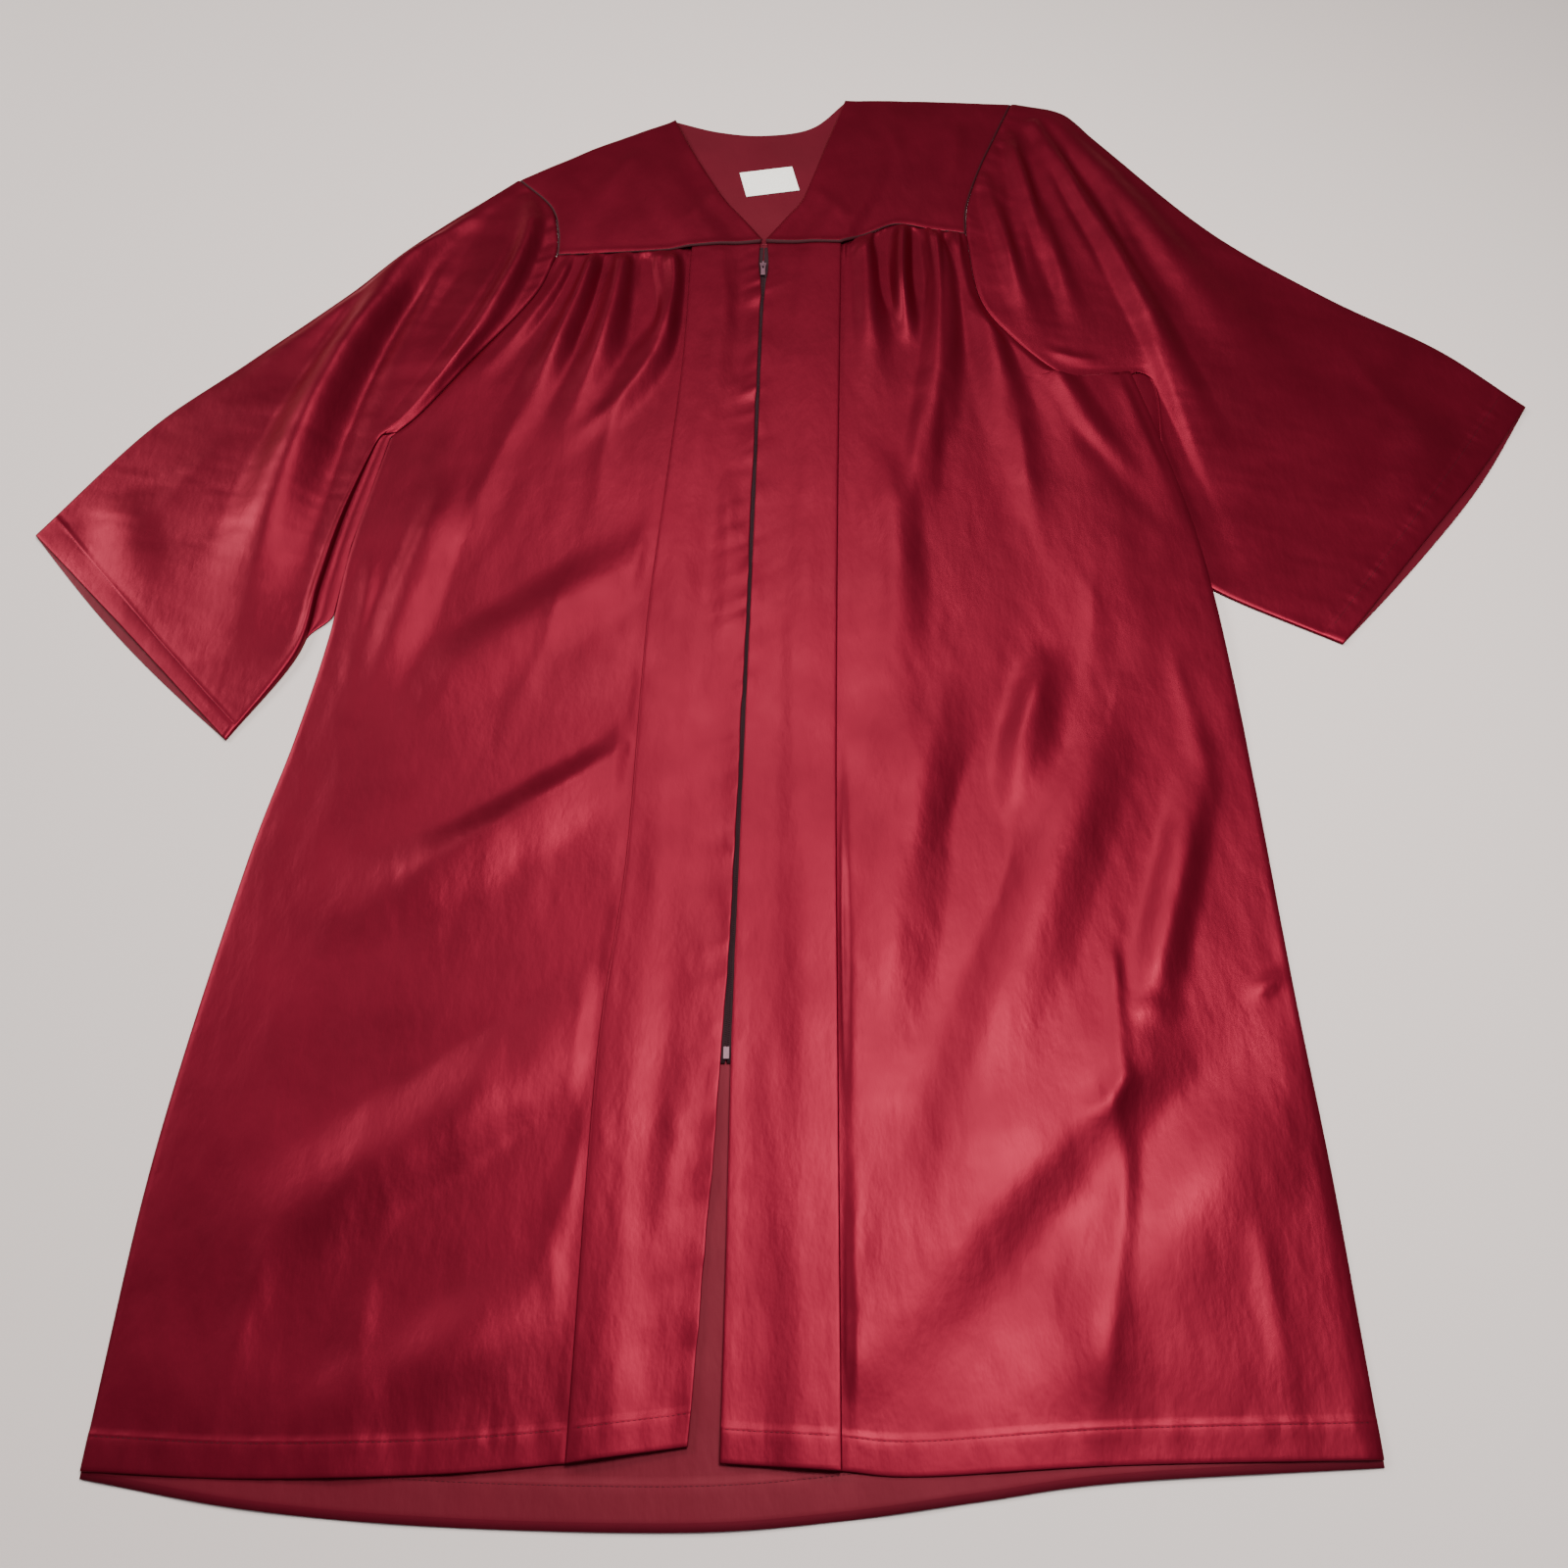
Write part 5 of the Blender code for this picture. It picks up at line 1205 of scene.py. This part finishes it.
def cloth_material(name, colour, roughness, metallic, weave, wrinkle, **sockets):
    """Woven cloth: threads that follow the cut, fine wrinkles, and slight unevenness of colour and gloss."""
    material, add, feed = node_setup(name, colour, roughness, metallic, **sockets)
    cut, place = on_cut(add), in_place(add)
    warp = add("ShaderNodeTexWave", cut, bands_direction="X", Scale=THREAD_SCALE, Distortion=0.6)
    stretch = add("ShaderNodeMapping", cut, Scale=(2600.0, 160.0, 1.0))
    floats = add("ShaderNodeTexNoise", [(stretch, "Vector", "Vector")], Scale=1.0, Detail=2.0)
    threads = add("ShaderNodeMix", [(warp, "Fac", "A"), (floats, "Fac", "B")], data_type="FLOAT", Factor=0.6)
    weave_bump = add("ShaderNodeBump", [(threads, "Result", "Height")], Strength=weave, Distance=0.00006)
    creased = add("ShaderNodeMapping", place, Scale=(1.0, 0.45, 1.0))
    crumple = add(
        "ShaderNodeTexNoise", [(creased, "Vector", "Vector")], Scale=95.0, Detail=3.0, Roughness=0.55
    )
    both = [(crumple, "Fac", "Height"), (weave_bump, "Normal", "Normal")]
    feed(add("ShaderNodeBump", both, Strength=wrinkle, Distance=0.0012), "Normal", "Normal")

    patches = add("ShaderNodeTexNoise", place, Scale=7.0, Detail=4.0, Roughness=0.6)
    shade = spread_over(add, patches, 0.0, 1.0)
    mixed = add("ShaderNodeMix", [(shade, "Result", "Factor")], data_type="RGBA")
    feed_shades(mixed, feed, colour, 0.88, 1.10)
    gloss = add("ShaderNodeTexNoise", place, Scale=19.0, Detail=3.0)
    feed(spread_over(add, gloss, roughness - 0.035, roughness + 0.045), "Result", "Roughness")
    return material


def satin_material(colour):
    return cloth_material(
        "Crimson satin", colour, 0.43, 0.7, 0.25, 0.32,
        specular_ior_level=0.3, specular_tint=(1.0, 0.35, 0.4, 1.0),
    )


def satin_inside_material(colour):
    return cloth_material(
        "Satin inside", colour, 0.55, 0.25, 0.3, 0.3,
        specular_ior_level=0.3, specular_tint=(1.0, 0.4, 0.45, 1.0),
    )


def plain_woven_material(name, colour, roughness, scale):
    """A plain weave of crossed threads, for tape and label."""
    material, add, feed = node_setup(name, colour, roughness, specular_ior_level=0.2)
    cut = on_cut(add)
    across = add("ShaderNodeTexWave", cut, bands_direction="X", Scale=scale)
    along = add("ShaderNodeTexWave", cut, bands_direction="Y", Scale=scale)
    crossed = add("ShaderNodeMath", [(across, "Fac", 0), (along, "Fac", 1)], operation="MULTIPLY")
    feed_bump(add, feed, crossed, "Value", 0.5, 0.00012)
    mixed = add("ShaderNodeMix", [(crossed, "Value", "Factor")], data_type="RGBA")
    feed_shades(mixed, feed, colour, 0.82, 1.05)
    return material


def thread_material(name, colour):
    material, add, feed = node_setup(name, colour, 0.7, specular_ior_level=0.15)
    fibres = add("ShaderNodeTexNoise", in_place(add), Scale=2200.0, Detail=2.0)
    feed_bump(add, feed, fibres, "Fac", 0.4, 0.0001)
    return material


def painted_metal_material(colour):
    """Painted zinc with slight wear in the paint."""
    material, add, feed = node_setup("Painted zip metal", colour, 0.45, 0.4)
    scuffs = add("ShaderNodeTexNoise", in_place(add), Scale=900.0, Detail=4.0, Roughness=0.65)
    feed(spread_over(add, scuffs, 0.36, 0.58, 0.35), "Result", "Roughness")
    feed_bump(add, feed, scuffs, "Fac", 0.25, 0.00008)
    return material


def floor_material(colour):
    material, add, feed = node_setup("Pale floor", colour, 0.75)
    grain = add("ShaderNodeTexNoise", in_place(add), Scale=300.0, Detail=3.0)
    feed_bump(add, feed, grain, "Fac", 0.05, 0.0005)
    return material


def shared_material(name, make, *values):
    """A material that is made once and then used again."""
    return bpy.data.materials.get(name) or make(*values)


def satin_pair():
    colours = bpy.context.scene.gown_colours
    return (
        shared_material("Crimson satin", satin_material, colours.satin),
        shared_material("Satin inside", satin_inside_material, colours.satin_inside),
    )


# The hem thread's material also colours the yokes' seams and armhole edges dark, as a painted seam shadow
def hem_thread_and_seam_shadow():
    return shared_material("Hem thread", thread_material, "Hem thread", bpy.context.scene.gown_colours.thread)


Settings = namedtuple("Settings", "thickness folds wrinkles gathers")


def cloth_settings():
    cloth = bpy.context.scene.gown_cloth
    return Settings(cloth.thickness / MM, cloth.fold_strength, cloth.wrinkle_strength, cloth.gather_strength)


def lay_sheet(name, cloth, node, materials):
    """Makes a cloth's mesh and lets it stand for its node."""
    piece = shell(name, cloth, *materials)
    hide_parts(node)
    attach(piece, BODY)
    return piece


def amount(name, description, default, **kind):
    return bpy.props.FloatProperty(name=name, description=description, default=default, min=0.0, **kind)


def tint(name, description, default):
    return bpy.props.FloatVectorProperty(
        name=name, description=description, subtype="COLOR", size=3, default=default
    )


class GownCloth(bpy.types.PropertyGroup):
    """Sizes of the cloth and how strongly it is folded."""

    thickness: amount("Thickness", "Thickness of the satin as modelled", 0.6 * MM, unit="LENGTH")
    fold_strength: amount("Folds", "Height of the large folds and creases, 1 as laid", 1.25)
    gather_strength: amount("Gathers", "Height of the gathers below the yokes and round the sleeve caps", 1.0)
    wrinkle_strength: amount("Wrinkles", "Height of the soft unevenness of the cloth and its puckers", 1.0)
    stitch_length: amount("Stitch length", "Length of a hem stitch", 2.3 * MM, unit="LENGTH")


class GownColours(bpy.types.PropertyGroup):
    """Colours of the gown's finishes."""

    satin: tint("Satin", "Face of the satin", (0.092, 0.003, 0.0113))
    satin_inside: tint("Inside", "Inside of the satin", (0.07, 0.0024, 0.009))
    # The thread colour also serves as a painted seam shadow along the yokes' seams and armhole edges
    thread: tint("Thread", "Sewing thread of the hems", (0.025, 0.001, 0.004))
    tape: tint("Zip tape", "Woven tape and teeth of the zip", (0.014, 0.002, 0.005))
    metal: tint("Zip metal", "Painted slider, tab and stop", (0.10, 0.045, 0.065))
    label: tint("Label", "Blank woven label", (0.84, 0.84, 0.82))


class GownStage(bpy.types.PropertyGroup):
    """Floor, lights and camera."""

    floor: tint("Floor", "Pale floor under the gown", (0.5, 0.455, 0.45))
    key_power: amount("Key light", "Soft light from the upper left", 108.0, subtype="POWER")
    top_power: amount("Top light", "Soft light over the skirt", 50.0, subtype="POWER")
    streak_power: amount(
        "Streak light", "Light that draws the bright sides of the skirt's folds", 22.0, subtype="POWER"
    )
    fill_power: amount("Fill light", "Weak cool light from beyond the hem", 20.0, subtype="POWER")
    surround: amount("Surround", "Light from the room all round", 0.16)


class GOWN_OT_lay_back(bpy.types.Operator):
    """Lay the back and the back yoke on the floor, their inside up"""

    bl_idname = "gown.lay_back"
    bl_label = "Lay the back"

    def execute(self, context):
        settings = cloth_settings()
        turned = satin_pair()[::-1]
        lay_sheet("satin_back", back_cloth(settings), "back_panel", turned)
        lay_sheet("satin_back_yoke", back_yoke_cloth(settings), "back_yoke", turned)
        return {"FINISHED"}


class GOWN_OT_lay_sleeves(bpy.types.Operator):
    """Lay both sleeves out to the sides"""

    bl_idname = "gown.lay_sleeves"
    bl_label = "Lay the sleeves"

    def execute(self, context):
        settings = cloth_settings()
        for side in (LEFT, RIGHT):
            node = "sleeve_" + side
            lay_sheet("satin_" + node, sleeve_cloth(side, settings), node, satin_pair())
        return {"FINISHED"}


class GOWN_OT_lay_fronts(bpy.types.Operator):
    """Lay both fronts over the back, with their bands, pleats and gathers"""

    bl_idname = "gown.lay_fronts"
    bl_label = "Lay the fronts"

    def execute(self, context):
        settings = cloth_settings()
        for side in (LEFT, RIGHT):
            name, cloth = "front_" + side, front_cloth(side, settings)
            lay_sheet("satin_" + name, cloth, "front_panel_" + side, satin_pair())
        return {"FINISHED"}


class GOWN_OT_lay_yokes(bpy.types.Operator):
    """Lay both front yokes over the back yoke"""

    bl_idname = "gown.lay_yokes"
    bl_label = "Lay the yokes"

    def execute(self, context):
        settings = cloth_settings()
        # The thread material is the third finish: it colours the yoke's seam and armhole edges dark, a
        # painted seam shadow
        finishes = (*satin_pair(), hem_thread_and_seam_shadow())
        for side in (LEFT, RIGHT):
            name, cloth = "yoke_" + side, yoke_cloth(side, settings)
            lay_sheet("satin_" + name, cloth, "front_" + name, finishes)
        return {"FINISHED"}


def zip_x(y):
    share = (y - ZIP_END[1]) / (ZIP_TOP[1] - ZIP_END[1])
    return ZIP_END[0] + share * (ZIP_TOP[0] - ZIP_END[0])


def tape_cloth(side):
    """One half of the zip's tape, under the band's inner edge."""
    away = 1.0 if side == RIGHT else -1.0
    along = np.linspace(0.0, 1.0, 180)[:, None]
    centre = np.array(ZIP_END) + along * (np.array(ZIP_TOP) - np.array(ZIP_END))
    from_teeth = np.array([0.6, 0.75, 1.0, 1.6, 2.6, 4.0, 6.5, 9.5, 12.0, 12.6, 12.85, 13.0])
    x = centre[:, :1] + away * from_teeth
    y = np.broadcast_to(centre[:, 1:], x.shape)
    level = TAPE_LEVEL + 0.12 * mottled(x, y, 9.0, 40.0, 111) - 0.1 * bump(from_teeth - 3.2, 1.0)
    half = TAPE_HALF * rounded(from_teeth - from_teeth[0], 0.5) * rounded(TAPE_WIDTH - from_teeth, 0.5)
    return facing_up(Cloth(np.stack([x, y, level], axis=-1), np.broadcast_to(half, x.shape)), side)


class GOWN_OT_sew_zip(bpy.types.Operator):
    """Sew in the zip: woven tapes, a row of coil teeth, and the finish of slider, pull tab and stop"""

    bl_idname = "gown.sew_zip"
    bl_label = "Sew the zip"

    def execute(self, context):
        colours = context.scene.gown_colours
        woven = shared_material("Zip tape", plain_woven_material, "Zip tape", colours.tape, 0.8, 520.0)
        length = math.dist(ZIP_TOP, ZIP_END)
        for side in (LEFT, RIGHT):
            name, cloth = "zip_tape_woven_" + side, tape_cloth(side)
            lay_sheet(name, cloth, "zip_tape_" + side, (woven, woven))
        tooth_finish = shared_material("Zip coil", thread_material, "Zip coil", colours.tape)
        step_x = (ZIP_TOP[0] - ZIP_END[0]) / length * TEETH_PITCH
        step_y = (ZIP_TOP[1] - ZIP_END[1]) / length * TEETH_PITCH
        first = STOP_Y + STOP_LENGTH / 2 + TEETH_PITCH
        count = int((SLIDER_Y - 3.0 - first) / step_y)
        for side, hand in ((LEFT, -1.0), (RIGHT, 1.0)):
            start = first + (TEETH_PITCH / 2 if side == RIGHT else 0.0)
            centre = laid([(zip_x(start) + TOOTH_SHIFT * hand, start, TEETH_LEVEL)])[0]
            bpy.ops.object.select_all(action="DESELECT")
            bpy.ops.mesh.primitive_cube_add(size=1.0, location=centre)
            teeth = context.object
            teeth.name = "zip_teeth_" + side
            teeth.scale = [size * MM for size in TOOTH_SIZE]
            settle_mesh(teeth)
            bpy.ops.object.mode_set(mode="EDIT")
            bpy.ops.mesh.bevel(offset=0.2 * MM, segments=1, affect="EDGES")
            bpy.ops.object.mode_set(mode="OBJECT")
            row = teeth.modifiers.new("Row", "ARRAY")
            row.use_relative_offset = False
            row.use_constant_offset = True
            row.constant_offset_displace = (step_x * MM, step_y * MM, 0.0)
            row.count = count
            apply_modifiers(teeth)
            teeth.data.materials.append(tooth_finish)
            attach(teeth, BODY)
        metal = shared_material("Painted zip metal", painted_metal_material, colours.metal)
        for node in ("zip_slider", "zip_pull_tab", "zip_bottom_stop"):
            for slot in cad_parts[node].material_slots:
                slot.material = metal
        return {"FINISHED"}


def label_point(across, along):
    """A point of the label's plan, from its centre and in its own directions."""
    cosine, sine = math.cos(LABEL_TURN), math.sin(LABEL_TURN)
    return LABEL_CENTRE[0] + across * cosine - along * sine, LABEL_CENTRE[1] + across * sine + along * cosine


def label_cloth():
    """The blank label, slightly lifted between its stitches."""
    width, height = LABEL_SIZE
    across = spaced(width, EDGE_STEPS, EDGE_STEPS, 1.2) - width / 2
    along = spaced(height, EDGE_STEPS, EDGE_STEPS, 1.2) - height / 2
    u, v = np.meshgrid(across, along)
    x, y = label_point(u, v)
    from_edge = np.minimum(width / 2 - np.abs(u), height / 2 - np.abs(v))
    lift = 0.5 * smooth((from_edge - 1.5) / 8.0) * (0.8 + 0.4 * mottled(x, y, 22.0, 16.0, 121))
    lift += 0.16 * mottled(x, y, 5.0, 5.0, 123) * bump(from_edge - 1.6, 1.6)
    grid = np.stack([x, y, LABEL_LEVEL + lift], axis=-1)
    return Cloth(grid, LABEL_HALF * rounded(from_edge, 0.6))


class GOWN_OT_sew_label(bpy.types.Operator):
    """Sew the blank label to the inside of the back yoke"""

    bl_idname = "gown.sew_label"
    bl_label = "Sew the label"

    def execute(self, context):
        colour = context.scene.gown_colours.label
        finish = shared_material("Blank label", plain_woven_material, "Blank label", colour, 0.55, 700.0)
        cloth = label_cloth()
        finishes = (finish, finish)
        lay_sheet("blank_label", cloth, "neck_label", finishes)
        normal = normals(cloth.grid, False)
        outer = laid(cloth.grid + normal * cloth.half[..., None])
        inset = 5
        lines = [
            (outer[inset, inset:-inset], normal[inset, inset:-inset]),
            (outer[-inset - 1, inset:-inset], normal[-inset - 1, inset:-inset]),
            (outer[inset:-inset, inset], normal[inset:-inset, inset]),
            (outer[inset:-inset, -inset - 1], normal[inset:-inset, -inset - 1]),
        ]
        thread = shared_material("White thread", thread_material, "White thread", (0.8, 0.8, 0.78))
        sewn = stitches("label_stitches", lines, 1.9 * MM, 2.5 * MM, 0.3 * MM, thread)
        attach(sewn, BODY)
        return {"FINISHED"}


class GOWN_OT_stitch_hems(bpy.types.Operator):
    """Stitch the hems of back, fronts and sleeves"""

    bl_idname = "gown.stitch_hems"
    bl_label = "Stitch the hems"

    def execute(self, context):
        settings = cloth_settings()
        cloths = {"back": back_cloth(settings)}
        for side in (LEFT, RIGHT):
            cloths["front_" + side] = front_cloth(side, settings)
            cloths["sleeve_" + side] = sleeve_cloth(side, settings)
        thread = hem_thread_and_seam_shadow()
        length = context.scene.gown_cloth.stitch_length
        for name, cloth in cloths.items():
            lines = outer_lines(cloth)
            sewn = stitches("hem_stitches_" + name, lines, length, 1.45 * length, 0.42 * MM, thread)
            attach(sewn, BODY)
        return {"FINISHED"}


# Lights: place over the floor and the point they are aimed at, in metres in the frame, then size, setting
# and colour
Light = namedtuple("Light", "name place aim size power colour")
WARM = (1.0, 0.94, 0.88)
LIGHTS = [
    Light("Key", (-2.6, 1.4, 1.8), (0.0, 0.0, 0.0), (1.1, 1.1), "key_power", (1.0, 0.95, 0.9)),
    Light("Soft top", (0.33, -0.05, 1.6), (0.2, -0.3, 0.0), (0.6, 0.6), "top_power", WARM),
    Light("Streak light", (-0.12, 0.95, 1.5), (0.1, -0.3, 0.0), (0.7, 0.45), "streak_power", WARM),
    Light("Cool fill", (0.6, -2.4, 1.9), (0.0, 0.0, 0.0), (1.6, 1.6), "fill_power", (0.9, 0.94, 1.0)),
]


def area_light(plan, power):
    """A rectangular soft light, aimed at its point."""
    light = bpy.data.lights.new(plan.name, "AREA")
    light.shape = "RECTANGLE"
    light.size, light.size_y = plan.size
    light.energy = power
    light.color = plan.colour
    holder = bpy.data.objects.new(plan.name, light)
    holder.location = plan.place
    aim = Vector(plan.aim) - Vector(plan.place)
    holder.rotation_euler = aim.to_track_quat("-Z", "Y").to_euler()
    bpy.context.collection.objects.link(holder)


class GOWN_OT_build_stage(bpy.types.Operator):
    """Build the pale floor, the soft lights and the camera"""

    bl_idname = "gown.build_stage"
    bl_label = "Build the stage"

    def execute(self, context):
        stage = context.scene.gown_stage
        bpy.ops.object.select_all(action="DESELECT")
        bpy.ops.mesh.primitive_plane_add(size=FLOOR_SIZE, location=(0.0, 0.0, FLOOR_LEVEL))
        floor = context.object
        floor.name = "floor"
        floor.data.materials.append(floor_material(stage.floor))

        for plan in LIGHTS:
            area_light(plan, getattr(stage, plan.power))
        world = bpy.data.worlds.new("Room")
        world.use_nodes = True
        background = world.node_tree.nodes["Background"]
        background.inputs["Color"].default_value = (1.0, 0.98, 0.96, 1.0)
        background.inputs["Strength"].default_value = stage.surround
        context.scene.world = world

        lens = bpy.data.cameras.new("Camera over the hem")
        lens.lens = CAMERA_LENS
        lens.clip_start = 0.01
        camera = bpy.data.objects.new("Camera over the hem", lens)
        camera.location = laid([CAMERA_PLACE])[0]
        camera.rotation_euler = (math.radians(90.0 - CAMERA_TILT), 0.0, 0.0)
        context.collection.objects.link(camera)
        context.scene.camera = camera
        return {"FINISHED"}


class GOWN_PT_steps(bpy.types.Panel):
    """The steps that lay out the gown, in their order"""

    bl_idname = "GOWN_PT_steps"
    bl_label = "Graduation gown"
    bl_space_type = "VIEW_3D"
    bl_region_type = "UI"
    bl_category = "Gown"

    def draw(self, context):
        scene = context.scene
        for group in (scene.gown_cloth, scene.gown_colours, scene.gown_stage):
            box = self.layout.box()
            for name in group.__annotations__:
                box.prop(group, name)
        for step in STEPS:
            self.layout.operator(step.bl_idname)


STEPS = (
    GOWN_OT_lay_back,
    GOWN_OT_lay_sleeves,
    GOWN_OT_lay_fronts,
    GOWN_OT_lay_yokes,
    GOWN_OT_sew_zip,
    GOWN_OT_sew_label,
    GOWN_OT_stitch_hems,
    GOWN_OT_build_stage,
)
GROUPS = {"gown_cloth": GownCloth, "gown_colours": GownColours, "gown_stage": GownStage}


def register():
    for group in (*GROUPS.values(), *STEPS, GOWN_PT_steps):
        bpy.utils.register_class(group)
    for name, group in GROUPS.items():
        setattr(bpy.types.Scene, name, bpy.props.PointerProperty(type=group))


def unregister():
    for name in GROUPS:
        delattr(bpy.types.Scene, name)
    for group in reversed((*GROUPS.values(), *STEPS, GOWN_PT_steps)):
        bpy.utils.unregister_class(group)


def main():
    register()
    for step in STEPS:
        family, name = step.bl_idname.split(".")
        getattr(getattr(bpy.ops, family), name)()


if __name__ == "__main__":
    main()
